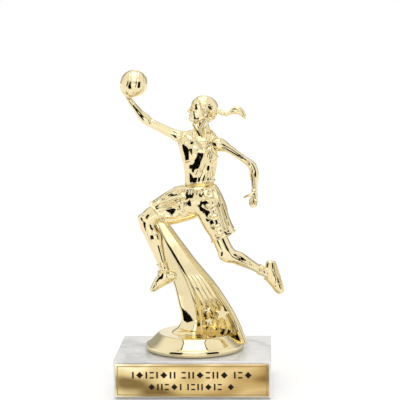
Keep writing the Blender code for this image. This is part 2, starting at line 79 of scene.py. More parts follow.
TORSO = [  # z, x, y, half width, half depth
    (97.2, 3.2, 0.0, 5.0, 3.4), (100.6, 3.3, 0.0, 6.4, 4.6), (102.6, 3.3, 0.0, 7.3, 5.2),
    (105.5, 3.4, 0.0, 7.5, 5.2), (110.0, 3.6, 0.1, 8.0, 5.6), (114.5, 3.5, 0.2, 9.0, 6.0),
    (118.5, 3.2, 0.2, 9.7, 6.0), (121.6, 3.0, 0.2, 9.9, 5.6), (124.2, 3.3, 0.2, 9.3, 4.8),
    (126.2, 3.6, 0.3, 7.3, 3.9), (127.6, 3.9, 0.3, 5.0, 3.0),
]
SHORTS_HIP = [
    (88.0, 3.8, -0.6, 7.4, 5.4), (91.5, 4.4, -0.6, 9.9, 6.6), (95.5, 4.2, -0.4, 10.2, 6.8),
    (99.0, 3.7, -0.2, 8.9, 6.2), (101.6, 3.35, 0.0, 7.6, 5.6),
]
SHORTS_RIGHT = [
    (2.5, 0.2, 92.4, 7.6, 5.8), (-3.5, 0.9, 92.0, 9.0, 6.3), (-9.5, 1.6, 89.8, 8.6, 6.3),
    (-14.2, 1.9, 88.0, 7.5, 6.2), (-19.4, 1.7, 86.2, 6.3, 6.0), (-22.4, 1.6, 85.2, 6.2, 5.9),
]
SHORTS_LEFT = [
    (6.0, -1.4, 95.0, 7.6, 5.8), (8.9, -2.6, 89.5, 7.8, 6.0), (11.2, -3.5, 83.6, 7.0, 5.9),
    (13.7, -4.0, 78.6, 6.4, 5.9), (14.4, -4.1, 73.9, 5.4, 5.5), (15.0, -4.2, 71.6, 5.0, 5.2),
]
NECK = [
    (4.9, 0.0, 119.8, 2.0, 2.0), (4.6, 0.0, 123.0, 3.0, 2.8), (4.5, 0.0, 126.4, 3.0, 2.9),
    (4.5, 0.0, 129.2, 2.6, 2.7), (5.0, 0.0, 133.6, 2.9, 3.0),
]
RISER = [  # z, left edge x, rib x, line x, right edge x, hollow depth, half thickness
    (21.0, -11.6, 0.4, 22.0, 26.6, 13.8, 2.6), (27.3, -11.4, 0.8, 19.6, 24.3, 13.4, 2.6),
    (30.0, -8.2, 1.2, 18.6, 23.2, 10.2, 2.5), (34.0, -6.6, 1.3, 17.0, 21.3, 6.4, 2.4),
    (41.0, -7.9, 0.2, 13.6, 17.5, 3.2, 2.4), (51.0, -10.2, -3.2, 7.6, 10.9, 1.6, 2.5),
    (62.0, -14.6, -8.6, -1.0, 1.7, 0.8, 2.6), (72.5, -17.9, -14.2, -8.4, -6.2, 0.4, 2.6),
    (82.6, -20.4, -18.6, -15.4, -13.4, 0.2, 2.4),
]
RISER_Y = [
    (21.0, -10.0), (27.3, -9.6), (30.0, -6.9), (34.0, -3.9), (41.0, -2.0), (51.0, -0.5),
    (62.0, 1.2), (72.5, 2.2), (81.5, 2.6),
]
STARS = [(7.4, 32.4, 3.0, 0.10), (13.9, 36.6, 4.1, -0.08), (6.6, 38.3, 2.5, 0.3)]
FOOT_Z0 = 19.3
FOOT_OUTER = [
    (23.8, 0.0), (24.2, 0.35), (24.45, 1.0), (24.5, 1.8), (24.3, 2.6), (23.8, 3.1),
    (23.0, 3.6), (21.7, 4.7), (20.3, 6.0), (19.3, 6.95), (18.6, 7.6), (17.7, 8.1),
]
HEAD_O = np.array([5.0, 0.0, 138.1])
HEAD_TILT, HEAD_TURN = math.radians(14), math.radians(9)


# ------------------------------------------------------------------ distance fields
def smin(a, b, k):
    h = np.clip(0.5 + 0.5 * (b - a) / k, 0, 1)
    return b + (a - b) * h - k * h * (1 - h)


def smax(a, b, k):
    return -smin(-a, -b, k)


def smooth01(t):
    t = np.clip(t, 0, 1)
    return t * t * (3 - 2 * t)


def catmull(rows, per):
    rows = np.array(rows, float)
    ends = np.vstack([2 * rows[0] - rows[1], rows, 2 * rows[-1] - rows[-2]])
    out = []
    for i in range(len(rows) - 1):
        p0, p1, p2, p3 = ends[i:i + 4]
        for j in range(per):
            t = j / per
            out.append(0.5 * (2 * p1 + (p2 - p0) * t + (2 * p0 - 5 * p1 + 4 * p2 - p3) * t * t
                              + (3 * p1 - p0 - 3 * p2 + p3) * t ** 3))
    out.append(rows[-1])
    return np.array(out)


def unit(v):
    v = np.asarray(v, float)
    return v / max(np.linalg.norm(v), 1e-12)


class Tube:
    """A round or oval limb along a smooth line: x, y, z, half across, half depth."""

    def __init__(self, rows, per=4, depth=(0, 1, 0)):
        rows = np.array(rows, float)
        if rows.shape[1] == 4:
            rows = np.hstack([rows, rows[:, 3:4]])
        r = catmull(rows, per) if per > 1 else rows
        self.round = bool(np.allclose(r[:, 3], r[:, 4]))
        m = r[:, 3:5].max(1)[:, None]
        self.lo, self.hi = (r[:, :3] - m).min(0), (r[:, :3] + m).max(0)
        self.segs = []
        for a, b in zip(r[:-1], r[1:]):
            ab = b[:3] - a[:3]
            t = unit(ab)
            across = np.cross(t, np.array(depth, float))
            if np.linalg.norm(across) < 0.1:
                across = np.cross(t, (1, 0, 0))
            across = unit(across)
            self.segs.append((a, b, ab, float(ab @ ab) + 1e-12, t, across, np.cross(across, t)))

    def __call__(self, P):
        best = None
        for a, b, ab, l2, tan, across, deep in self.segs:
            q = P - a[:3]
            t = np.clip(q @ ab / l2, 0, 1)
            q = q - t[:, None] * ab
            ra = a[3] + (b[3] - a[3]) * t
            length = np.sqrt(np.einsum("ij,ij->i", q, q))
            if self.round:
                d = length - ra
            else:
                rd = a[4] + (b[4] - a[4]) * t
                re = np.minimum(ra, rd)
                g = np.sqrt((q @ across / ra) ** 2 + (q @ deep / rd) ** 2 + (q @ tan / re) ** 2)
                d = np.where(g < 1e-3, -re, length - length / np.maximum(g, 1e-6))
            best = d if best is None else np.minimum(best, d)
        return best


def capsule(*points):
    """Round line through points (x, y, z, radius)."""
    return Tube(points, per=1)


class Ellipsoid:
    def __init__(self, centre, radii, turn=None):
        self.c, self.r = np.array(centre, float), np.array(radii, float)
        self.m = None if turn is None else np.array(turn, float)
        m = self.r.max()
        self.lo, self.hi = self.c - m, self.c + m

    def __call__(self, P):
        q = P - self.c
        if self.m is not None:
            q = q @ self.m
        k0 = np.sqrt(((q / self.r) ** 2).sum(1))
        k1 = np.sqrt(((q / self.r ** 2) ** 2).sum(1))
        return np.where(k0 < 1e-3, -self.r.min(), k0 * (k0 - 1) / np.maximum(k1, 1e-6))


class Loft:
    """Stacked rounded sections: z, x, y, half width, half depth."""

    def __init__(self, rows, power=2.3, per=8, cap=0.8):
        self.t = catmull(rows, per)
        self.p, self.cap = power, cap

    def __call__(self, P):
        t = self.t
        z = np.clip(P[:, 2], t[0, 0], t[-1, 0])
        cx, cy, w, dd = (np.interp(z, t[:, 0], t[:, i]) for i in (1, 2, 3, 4))
        x, y = P[:, 0] - cx, P[:, 1] - cy
        g = (np.abs(x / w) ** self.p + np.abs(y / dd) ** self.p) ** (1 / self.p)
        length = np.hypot(x, y)
        d = np.where(g < 1e-3, -np.minimum(w, dd), length - length / np.maximum(g, 1e-6))
        return smax(d * 0.95, np.maximum(P[:, 2] - t[-1, 0], t[0, 0] - P[:, 2]), self.cap)


def near(P, lo, hi, m):
    return np.nonzero(np.all((P > np.asarray(lo) - m) & (P < np.asarray(hi) + m), axis=1))[0]


def add(d, P, prim, k=0.4, m=1.6):
    i = near(P, prim.lo, prim.hi, m + k)
    if len(i):
        d[i] = smin(d[i], prim(P[i]), k)
    return d


def cut(d, P, prim, k=0.3, m=1.6):
    i = near(P, prim.lo, prim.hi, m + k)
    if len(i):
        d[i] = smax(d[i], -prim(P[i]), k)
    return d


def line2(x, z, pts):
    """Distance to a polyline in a plane, which side of it, and how far along (0 to 1)."""
    pts = np.array(pts, float)
    seg = np.hypot(*(pts[1:] - pts[:-1]).T)
    start = np.concatenate([[0], np.cumsum(seg)])
    best, side, along = np.full(len(x), 1e9), np.zeros(len(x)), np.zeros(len(x))
    for i in range(len(pts) - 1):
        (ax, az), (bx, bz) = pts[i], pts[i + 1]
        ux, uz = bx - ax, bz - az
        t = np.clip(((x - ax) * ux + (z - az) * uz) / (ux * ux + uz * uz), 0, 1)
        dx, dz = x - ax - t * ux, z - az - t * uz
        d = np.hypot(dx, dz)
        m = d < best
        best = np.where(m, d, best)
        side = np.where(m, np.sign(ux * dz - uz * dx), side)
        along = np.where(m, (start[i] + t * seg[i]) / start[-1], along)
    return best, side, along


def poly2(x, z, pts):
    """Signed distance to a closed polygon in a plane, negative inside."""
    pts = np.array(pts, float)
    d, _, _ = line2(x, z, np.vstack([pts, pts[:1]]))
    inside = np.zeros(len(x), bool)
    for (ax, az), (bx, bz) in zip(pts, np.roll(pts, -1, 0)):
        if az == bz:
            continue
        hit = ((az > z) != (bz > z)) & (x < (bx - ax) * (z - az) / (bz - az) + ax)
        inside ^= hit
    return np.where(inside, -d, d)


def fold(d, P, pts, amount, width, y0=0.0, back=False, valley=0.5, taper=0.18, both=False):
    """Raises (or with a negative amount sinks) the surface along a line drawn in x and z."""
    p = np.array(pts, float)
    m = 3.2 * width
    i = np.nonzero((P[:, 0] > p[:, 0].min() - m) & (P[:, 0] < p[:, 0].max() + m)
                   & (P[:, 2] > p[:, 1].min() - m) & (P[:, 2] < p[:, 1].max() + m))[0]
    if not len(i):
        return d
    q = P[i]
    dist, side, t = line2(q[:, 0], q[:, 2], p)
    s = dist * side
    shape = np.exp(-(s / width) ** 2) - valley * np.exp(-((s + 1.5 * width) / (0.9 * width)) ** 2)
    ends = smooth01(t / taper) * smooth01((1 - t) / taper)
    mask = 1.0 if both else smooth01(0.5 + ((q[:, 1] - y0) if back else (y0 - q[:, 1])) / 2.4)
    d[i] -= amount * shape * ends * mask
    return d


def drape(d, P, pts, slope, width, y0=0.0, taper=0.16, fall=0.5, right=False, last=None):
    """A fold of cloth with one broad flat flank, on its low-x side (or its high-x side), and one short steep one."""
    p = np.array(pts, float)
    m = 1.3 * width
    i = np.nonzero((P[:, 0] > p[:, 0].min() - m) & (P[:, 0] < p[:, 0].max() + m)
                   & (P[:, 2] > p[:, 1].min() - m) & (P[:, 2] < p[:, 1].max() + m))[0]
    if not len(i):
        return d
    q = P[i]
    mid = (p[0] + p[-1]) / 2
    way = line2(np.array([mid[0] - 6.0]), np.array([mid[1]]), p)[1][0]
    dist, side, t = line2(q[:, 0], q[:, 2], p)
    s = dist * side * way * (-1 if right else 1)
    slope = slope + ((slope if last is None else last) - slope) * t
    ends = np.maximum(smooth01(t / taper) * smooth01((1 - t) / taper), 0.03)
    w = width * ends
    h = smax(smin(1 - s / w, 1 + s / (fall * w), 0.16), 0 * s, 0.14)
    mask = smooth01(0.5 + (y0 - q[:, 1]) / 2.4)
    d[i] -= slope * w * h * mask
    return d


# ------------------------------------------------------------------ surfaces from fields
def field(f, P):
    n = len(P)
    if n < 6000:
        return f(P)
    return np.concatenate(list(POOL.map(f, np.array_split(P, max(4, n // 24000)))))


def gradient(f, P, e):
    k = np.array([(1, -1, -1), (-1, -1, 1), (-1, 1, -1), (1, 1, 1)], float)
    v = [field(f, P + e * s) for s in k]
    g = sum(val[:, None] * s for val, s in zip(v, k)) / (4 * e)
    return g, sum(v) / 4


def nets(D, lo, h):
    S = D < 0
    cnt = np.zeros(tuple(n - 1 for n in D.shape), np.uint8)
    sl = lambda o, n: slice(o, n - 1 + o)
    for a in (0, 1):
        for b in (0, 1):
            for c in (0, 1):
                cnt += S[sl(a, S.shape[0]), sl(b, S.shape[1]), sl(c, S.shape[2])]
    active = (cnt > 0) & (cnt < 8)
    idx = np.argwhere(active)
    number = np.full(active.shape, -1, np.int64)
    number[active] = np.arange(len(idx))
    acc, num = np.zeros((len(idx), 3)), np.zeros(len(idx))
    i, j, k = idx.T
    corners = [(a, b, c) for a in (0, 1) for b in (0, 1) for c in (0, 1)]
    for a in corners:
        for ax in range(3):
            if a[ax]:
                continue
            b = tuple(v + (n == ax) for n, v in enumerate(a))
            da, db = D[i + a[0], j + a[1], k + a[2]], D[i + b[0], j + b[1], k + b[2]]
            m = (da < 0) != (db < 0)
            t = da[m] / (da[m] - db[m])
            acc[m] += np.array(a) + t[:, None] * (np.array(b) - np.array(a))
            num[m] += 1
    V = lo + h * (idx + acc / num[:, None])
    faces = []
    for ax in range(3):
        b, c = (ax + 1) % 3, (ax + 2) % 3
        lower = [slice(None)] * 3
        upper = [slice(None)] * 3
        lower[ax], upper[ax] = slice(0, -1), slice(1, None)
        change = S[tuple(lower)] != S[tuple(upper)]
        e = np.argwhere(change)
        ok = (e[:, b] > 0) & (e[:, c] > 0) & (e[:, b] < D.shape[b] - 1) & (e[:, c] < D.shape[c] - 1)
        e = e[ok]
        inside = S[tuple(e.T)]
        quad = []
        for ob, oc in ((-1, -1), (0, -1), (0, 0), (-1, 0)):
            cell = e.copy()
            cell[:, b] += ob
            cell[:, c] += oc
            quad.append(number[tuple(cell.T)])
        quad = np.stack(quad, 1)
        quad[~inside] = quad[~inside][:, ::-1]
        faces.append(quad)
    return V, np.concatenate(faces)


def make_mesh(name, V, F, smooth=True):
    """V in metres, F all quads (n, 4) or all triangles (n, 3)."""
    F = np.asarray(F, np.int32)
    V = np.asarray(V, float)
    a, b, c = (V[F[:, i]] for i in range(3))
    volume = np.einsum("ij,ij->i", a, np.cross(b, c)).sum()
    if F.shape[1] == 4:
        volume += np.einsum("ij,ij->i", a, np.cross(c, V[F[:, 3]])).sum()
    if volume < 0:
        F = np.ascontiguousarray(F[:, ::-1])
    n, s = F.shape
    me = bpy.data.meshes.new(name)
    me.vertices.add(len(V))
    me.vertices.foreach_set("co", np.asarray(V, np.float32).ravel())
    me.loops.add(n * s)
    me.loops.foreach_set("vertex_index", F.ravel())
    me.polygons.add(n)
    me.polygons.foreach_set("loop_start", np.arange(0, n * s, s, dtype=np.int32))
    me.polygons.foreach_set("use_smooth", np.full(n, smooth))
    me.update(calc_edges=True)
    me.validate()
    ob = bpy.data.objects.new(name, me)
    bpy.context.scene.collection.objects.link(ob)
    return ob


def sculpt(name, f, lo, hi, h, slack=1.55, rounds=2):
    """The closed surface f = 0 as an even quad mesh lying exactly on f."""
    lo = np.array(lo, float)
    blocks = np.ceil((np.array(hi, float) - lo) / (8 * h)).astype(int) + 1
    n = blocks * 8
    bi = np.argwhere(np.ones(blocks, bool))
    mid = lo + h * (bi * 8 + 3.5)
    dm = field(f, mid)
    keep = np.abs(dm) < slack * h * 8 * 0.866 * 1.15
    D = np.repeat(np.repeat(np.repeat(np.where(dm < 0, -9.0, 9.0).reshape(blocks), 8, 0), 8, 1), 8, 2).astype(np.float32)
    off = np.argwhere(np.ones((8, 8, 8), bool))
    kb = bi[keep]
    ids = (kb[:, None, :] * 8 + off[None]).reshape(-1, 3)
    D[tuple(ids.T)] = field(f, lo + h * ids)
    for ax in range(3):  # the outermost layer is always outside, so every surface closes
        s = [slice(None)] * 3
        for end in (0, -1):
            s[ax] = end
            D[tuple(s)] = np.maximum(D[tuple(s)], 0.5)
            s[ax] = slice(None)
    V, F = nets(D, lo, h)
    used = np.zeros(len(V), bool)
    used[F.ravel()] = True
    remap = np.cumsum(used) - 1
    V, F = V[used], remap[F]
    e = np.concatenate([F[:, [0, 1]], F[:, [1, 2]], F[:, [2, 3]], F[:, [3, 0]]])
    both = np.concatenate([e, e[:, ::-1]])
    deg = np.bincount(both[:, 0], minlength=len(V))
    for r in range(rounds + 1):
        g, v = gradient(f, V, 0.35 * h)
        g2 = np.maximum((g ** 2).sum(1), 0.05)
        step = -(v / g2)[:, None] * g
        size = np.linalg.norm(step, axis=1)
        V = V + step * np.minimum(1, 0.6 * h / np.maximum(size, 1e-9))[:, None]
        if r < rounds:
            nrm = g / np.sqrt(g2)[:, None]
            avg = np.stack([np.bincount(both[:, 0], V[both[:, 1], c], len(V)) for c in range(3)], 1) / deg[:, None]
            move = avg - V
            move -= (move * nrm).sum(1)[:, None] * nrm
            V = V + 0.6 * move
    V, F = largest(V, F)
    ob = make_mesh(name, V * 0.001, F)
    print("PIECE", name, "quads", len(F))
    return ob


def largest(V, F):
    """Keeps the biggest connected surface and anything within a tenth of its size."""
    label = np.arange(len(V))
    e = np.concatenate([F[:, [0, 1]], F[:, [1, 2]], F[:, [2, 3]], F[:, [3, 0]]])
    while True:
        low = np.minimum(label[e[:, 0]], label[e[:, 1]])
        new = label.copy()
        np.minimum.at(new, e[:, 0], low)
        np.minimum.at(new, e[:, 1], low)
        new = new[new]
        if np.array_equal(new, label):
            break
        label = new
    ids, counts = np.unique(label[F[:, 0]], return_counts=True)
    good = set(ids[counts >= 0.1 * counts.max()].tolist())
    if len(ids) > 1:
        print("  islands", sorted(counts.tolist())[::-1][:6])
    F = F[np.isin(label[F[:, 0]], list(good))]
    used = np.zeros(len(V), bool)
    used[F.ravel()] = True
    return V[used], (np.cumsum(used) - 1)[F]


def frame_of(tangent, up=(0, 0, 1)):
    t = unit(tangent)
    s = unit(np.cross(up, t))
    return np.stack([t, s, np.cross(t, s)], 1)


def plane(P, point, normal):
    return (P - np.array(point, float)) @ unit(normal)


def ring(d, P, surface, pd, r, k=0.15):
    """A raised cord of radius r where the surface meets another field."""
    i = np.nonzero((np.abs(pd) < r + 1.2) & (np.abs(surface) < r + 2.0))[0]
    if len(i):
        d[i] = smin(d[i], np.hypot(surface[i], pd[i]) - r, k)
    return d


# ------------------------------------------------------------------ jersey
torso_loft = Loft(TORSO)
torso_extra = [
    (Ellipsoid((1.2, -3.4, 116.6), (3.8, 3.1, 4.8)), 2.0), (Ellipsoid((8.9, -2.9, 116.2), (3.5, 3.0, 4.6)), 2.0),
    (Tube([(-3.2, 1.0, 124.9, 2.5), (0.6, 0.8, 126.2, 2.0), (4.5, 0.9, 127.3, 2.3), (8.4, 0.4, 125.7, 2.1), (11.0, -0.6, 123.4, 2.3)]), 1.2),
    (Ellipsoid((-2.2, 4.6, 119.6), (3.4, 1.9, 4.2)), 1.4), (Ellipsoid((8.4, 4.6, 119.6), (3.3, 1.9, 4.2)), 1.4),
    (Ellipsoid((4.4, -3.9, 122.6), (4.8, 1.6, 2.2)), 1.4),
]
V_NECK = [(1.6, 129.5), (2.0, 125.6), (3.2, 122.1), (5.7, 118.8), (7.7, 120.7), (9.2, 123.6), (9.8, 129.5)]
BACK_NECK = [(0.6, 129.5), (1.2, 126.4), (2.8, 125.1), (4.6, 124.7), (6.6, 125.2), (8.0, 126.4), (8.8, 129.5)]
LEFT_HOLE = [(11.9, 128.0), (10.7, 125.4), (8.9, 121.6), (9.4, 117.8), (12.2, 115.2), (15.0, 114.2)]


def torso_body(P):
    d = torso_loft(P)
    for prim, k in torso_extra:
        d = add(d, P, prim, k, 3.0)
    return d


def jersey(P):
    d = torso_body(P)
    for pts, a, w in (
        ([(8.4, 119.4), (10.0, 116.4), (9.7, 113.4), (8.6, 111.6)], 0.5, 0.55),
        ([(10.8, 114.6), (10.3, 109.7), (9.4, 103.4)], 0.5, 0.6),
        ([(12.2, 113.0), (11.4, 108.8), (10.6, 104.4)], 0.45, 0.6),
        ([(-3.4, 126.0), (-1.6, 124.4), (-0.2, 123.4)], 0.45, 0.55),
    ):
        d = fold(d, P, pts, a, w)
    for pts, slope, last, w, right in (
        ([(6.4, 119.6), (5.8, 115.6), (4.2, 111.0), (1.9, 107.0), (0.4, 104.6)], 0.56, 0.12, 3.6, False),
        ([(-5.2, 123.4), (-4.6, 118.0), (-3.4, 111.4)], 0.24, 0.30, 3.8, True),
        ([(4.4, 109.6), (3.0, 106.0), (2.0, 101.4)], 0.40, 0.16, 2.6, False),
        ([(8.2, 108.6), (6.8, 105.6), (5.6, 101.8)], 0.46, 0.42, 1.5, False),
    ):
        d = drape(d, P, pts, slope, w, right=right, last=last)
    for pts, a, w in (
        ([(3.8, 121.5), (3.7, 115.0), (3.6, 107.0)], -0.5, 1.2), ([(0.0, 112.0), (1.6, 107.0), (2.4, 102.6)], 0.5, 0.8),
        ([(7.8, 112.0), (6.2, 107.0), (5.2, 102.6)], 0.5, 0.8), ([(-2.8, 110.0), (-1.6, 106.0), (-0.8, 102.8)], 0.45, 0.7),
        ([(10.6, 110.0), (9.2, 106.0), (8.0, 102.8)], 0.45, 0.7), ([(-4.6, 117.0), (-2.4, 113.0), (1.2, 110.0)], 0.4, 0.8),
        ([(11.0, 117.0), (9.4, 113.4), (6.6, 110.4)], 0.4, 0.8),
    ):
        d = fold(d, P, pts, a, w, back=True)
    base = d.copy()
    x, y, z = P.T
    v = poly2(x, z, V_NECK)
    b = poly2(x, z, BACK_NECK)
    d = smax(d, -np.maximum(np.maximum(v, -(base + 0.8)), y - 0.3), 0.12)
    d = smax(d, -np.maximum(np.maximum(b, -(base + 0.55)), 0.3 - y), 0.12)
    right = plane(P, (-5.3, 1.0, 124.6), (-0.90, -0.06, 0.43))
    d = smax(d, right - 0.25, 0.2)
    hole, side, _ = line2(x, z, LEFT_HOLE)
    hole = hole * side
    inside = (hole > 0) if hole_sign > 0 else (hole < 0)
    d = np.where(inside & (base > -0.5), smax(d, np.minimum(base + 0.5, np.abs(hole) + base + 0.05), 0.1), d)
    front = np.nonzero(y < 0.8)[0]
    rear = np.nonzero(y > -0.2)[0]
    dd = d[front]
    d[front] = ring(dd, P[front], base[front], v[front], 0.42)
    dd = d[rear]
    d[rear] = ring(dd, P[rear], base[rear], b[rear], 0.36)
    d = ring(d, P, base, right, 0.42)
    d = ring(d, P, base, hole, 0.36)
    hem = plane(P, (3.4, 0.0, 101.6), (-0.11, 0.0, 1.0))
    d = ring(d, P, base, hem - 0.75, 0.5, 0.5)
    return smax(d, -(hem + 1.8), 0.25)


hole_sign = 1.0
_probe = np.array([[13.5, -4.0, 120.0]])
hole_sign = float(line2(_probe[:, 0], _probe[:, 2], LEFT_HOLE)[1][0])


# ------------------------------------------------------------------ shorts
hip_loft = Loft(SHORTS_HIP)
short_r, short_l = Tube(SHORTS_RIGHT), Tube(SHORTS_LEFT)
HEM_R, HEM_L = ((-18.5, 0.0, 87.9), (-0.80, 0.03, -0.60)), ((14.2, -4.0, 75.3), (0.40, 0.0, -0.91))


def shorts(P):
    d = hip_loft(P)
    d = smin(d, short_r(P), 1.6)
    d = smin(d, short_l(P), 1.3)
    d = add(d, P, Ellipsoid((17.2, -3.6, 79.2), (3.2, 5.2, 2.6)), 1.2)
    d = add(d, P, Ellipsoid((6.6, 4.0, 93.2), (4.6, 3.6, 4.6)), 1.6)
    d = add(d, P, Ellipsoid((0.2, 4.2, 93.6), (4.4, 3.6, 4.4)), 1.6)
    x, y, z = P.T
    # long folds over the raised thigh
    for pts, a, w in (
        ([(-19.4, 91.0), (-15.0, 92.6), (-9.0, 94.6), (-2.6, 95.8)], 0.85, 0.85),
        ([(-18.6, 89.8), (-14.0, 90.9), (-9.0, 91.9), (-4.8, 93.0)], 0.7, 0.7),
        ([(-17.4, 87.2), (-13.4, 85.7), (-9.0, 85.6), (-5.2, 88.0)], 0.7, 0.7),
        ([(-14.0, 96.0), (-8.7, 98.1), (-3.0, 99.4)], 0.6, 0.6),
        ([(-17.0, 93.4), (-11.0, 96.3), (-5.0, 97.8)], 0.5, 0.55),
        ([(-19.6, 92.4), (-17.6, 92.9), (-16.4, 94.6)], 0.45, 0.5),
    ):
        d = fold(d, P, pts, a, w, y0=-1.5)
    for pts, slope, w in (
        ([(-1.8, 95.4), (-0.6, 93.0), (-0.4, 90.0), (-1.0, 87.0)], 0.13, 3.4),
        ([(-4.6, 95.0), (-4.2, 92.8), (-4.2, 90.4), (-4.8, 87.6)], 0.48, 2.0),
        ([(-7.2, 98.2), (-5.0, 96.6), (-3.8, 94.4)], 0.34, 1.8),
        ([(-10.4, 85.6), (-8.6, 87.8), (-7.6, 90.6)], 0.22, 4.0),
        ([(5.6, 100.8), (6.6, 98.8), (6.8, 96.4), (6.4, 94.6)], 0.16, 3.6),
        ([(7.2, 95.6), (8.0, 93.4), (8.0, 91.2), (7.4, 89.4)], 0.34, 3.7),
        ([(8.2, 91.0), (9.0, 89.0), (9.2, 86.6), (8.8, 84.6)], 0.12, 3.5),
        ([(9.8, 85.8), (10.8, 83.6), (11.2, 81.4), (11.0, 79.0)], 0.16, 3.2),
        ([(12.2, 81.0), (13.2, 79.4), (13.6, 77.4)], 0.14, 2.2),
        ([(11.0, 100.0), (12.8, 96.6), (13.6, 93.0), (14.4, 90.0)], 0.5, 0.9),
    ):
        d = drape(d, P, pts, slope, w, y0=-1.5)
    # rippled folds down the trailing leg, ending at the side stripe
    for pts, a, w in (
        ([(6.0, 97.2), (7.6, 95.4), (10.2, 96.0)], 0.6, 0.55),
        ([(6.8, 92.2), (8.8, 90.9), (11.2, 91.4)], 0.6, 0.55),
        ([(8.0, 87.6), (9.8, 86.4), (12.4, 86.8)], 0.6, 0.55),
        ([(9.6, 82.6), (11.4, 81.4), (13.8, 82.0)], 0.6, 0.55),
        ([(11.4, 79.0), (13.2, 77.8), (15.6, 78.6)], 0.55, 0.5),
        ([(7.6, 99.4), (9.4, 98.6), (10.6, 99.6)], 0.4, 0.5),
    ):
        d = fold(d, P, pts, a, w, y0=-3.5, valley=0.7)
    for pts in ([(9.6, 100.2), (11.3, 94.4), (13.2, 89.5), (14.6, 84.5), (16.4, 78.6)],
                [(11.9, 99.6), (13.5, 94.2), (15.1, 89.3), (16.5, 84.9), (18.2, 79.4)]):
        d = fold(d, P, pts, -0.42, 0.4, y0=-0.5, valley=0.6, taper=0.06)
    # seat and back of the thighs
    for pts, a, w in (
        ([(3.4, 99.0), (3.6, 94.0), (4.4, 88.6)], -0.9, 0.9), ([(-18.5, 90.6), (-12.0, 92.4), (-5.0, 94.2)], 0.7, 0.8),
        ([(-17.4, 88.0), (-11.0, 88.8), (-4.4, 91.0)], 0.7, 0.8), ([(-13.0, 95.2), (-7.0, 97.0), (-1.4, 97.6)], 0.55, 0.7),
        ([(13.4, 96.0), (10.0, 92.0), (6.6, 90.6)], 0.7, 0.8), ([(14.8, 91.0), (11.6, 87.0), (7.6, 85.4)], 0.75, 0.8),
        ([(16.4, 86.0), (12.8, 82.0), (8.8, 80.6)], 0.75, 0.8), ([(17.6, 81.0), (14.0, 78.0), (10.4, 77.0)], 0.6, 0.7),
        ([(-3.0, 87.0), (-9.0, 84.6), (-14.0, 84.6)], 0.5, 0.7),
    ):
        d = fold(d, P, pts, a, w, back=True)
    base = d.copy()
    # waistband with gathers below it
    band = plane(P, (3.4, 0.0, 101.3), (-0.06, -0.14, 1.0))
    turn = np.arctan2(x - 3.6, -(y + 0.2))
    gather = np.exp(-((band + 1.9) / 1.1) ** 2) * 0.16 * np.sin(turn * 26 + 0.8 * np.sin(turn * 5))
    d = d - np.where(band < -0.9, gather, 0)
    d = ring(d, P, base, band + 0.85, 0.28, 0.25)
    d = smax(d, band, 0.3)
    # open legs: the cloth is a thin wall near each hem, with a turned edge
    for (point, normal), reach in ((HEM_R, -9.5), (HEM_L, 9.0)):
        own = (x < -5) if reach < 0 else (z < 84)
        pd = plane(P, point, normal)
        wave = 0.35 * np.sin(1.4 * (P @ np.array([0.45, 0.8, 0.5]))) if reach < 0 else 0.3 * np.sin(1.2 * y + 0.5 * x)
        pd = pd + wave
        d = np.where(own, smax(d, pd, 0.25), d)
        d = np.where(own, ring(d.copy(), P, base, pd + 0.3, 0.42, 0.3), d)
        d = np.where(own, fold_ring(d, base, pd + 1.5), d)
        d = np.where(own, smax(d, -np.maximum(base + 0.85, -(pd + 2.6)), 0.3), d)
    return d


def fold_ring(d, base, pd):
    """A stitched line just above the turned edge."""
    return d + 0.12 * np.exp(-(pd / 0.22) ** 2) * (np.abs(base) < 2)


# ------------------------------------------------------------------ ball
ball_turn = np.array(Matrix.Rotation(math.radians(24), 3, "Z") @ Matrix.Rotation(math.radians(-28), 3, "X") @ Matrix.Rotation(math.radians(15), 3, "Y"))


def ball(P):
    q = (P - np.array(BALL_C)) @ ball_turn
    r = np.sqrt((q * q).sum(1))
    n = q / np.maximum(r, 1e-6)[:, None]
    seams = np.minimum(np.abs(n[:, 0]), np.abs(n[:, 2]))
    bow = np.abs(np.abs(n[:, 0]) - (0.52 + 0.24 * n[:, 2] ** 2)) * 1.05
    s = np.minimum(seams, bow) * BALL_R
    return r - BALL_R + 0.16 * np.exp(-(s / 0.2) ** 2)


# ------------------------------------------------------------------ arms and hands
right_arm_tube = Tube(RIGHT_ARM)
arm_extra = [
    (Ellipsoid((-6.6, 0.9, 124.9), (3.6, 2.8, 2.6), frame_of((-0.93, 0, 0.36))), 1.6),
    (Ellipsoid((-23.2, 0.3, 134.0), (3.4, 2.2, 2.1), frame_of((-0.72, 0, 0.69))), 1.2),
    (Ellipsoid((-20.6, 1.6, 131.2), (1.5, 1.2, 1.1)), 0.7),
    (Ellipsoid((-29.6, -0.2, 141.9), (1.3, 1.3, 1.0)), 0.6),
]


def on_ball(direction, out, r):
    p = np.array(BALL_C) + unit(direction) * (BALL_R + out)
    return (*p, r)


def finger(dirs, out, r0, r1):
    n = len(dirs)
    return Tube([on_ball(v, out, r0 + (r1 - r0) * i / (n - 1)) for i, v in enumerate(dirs)], per=3)


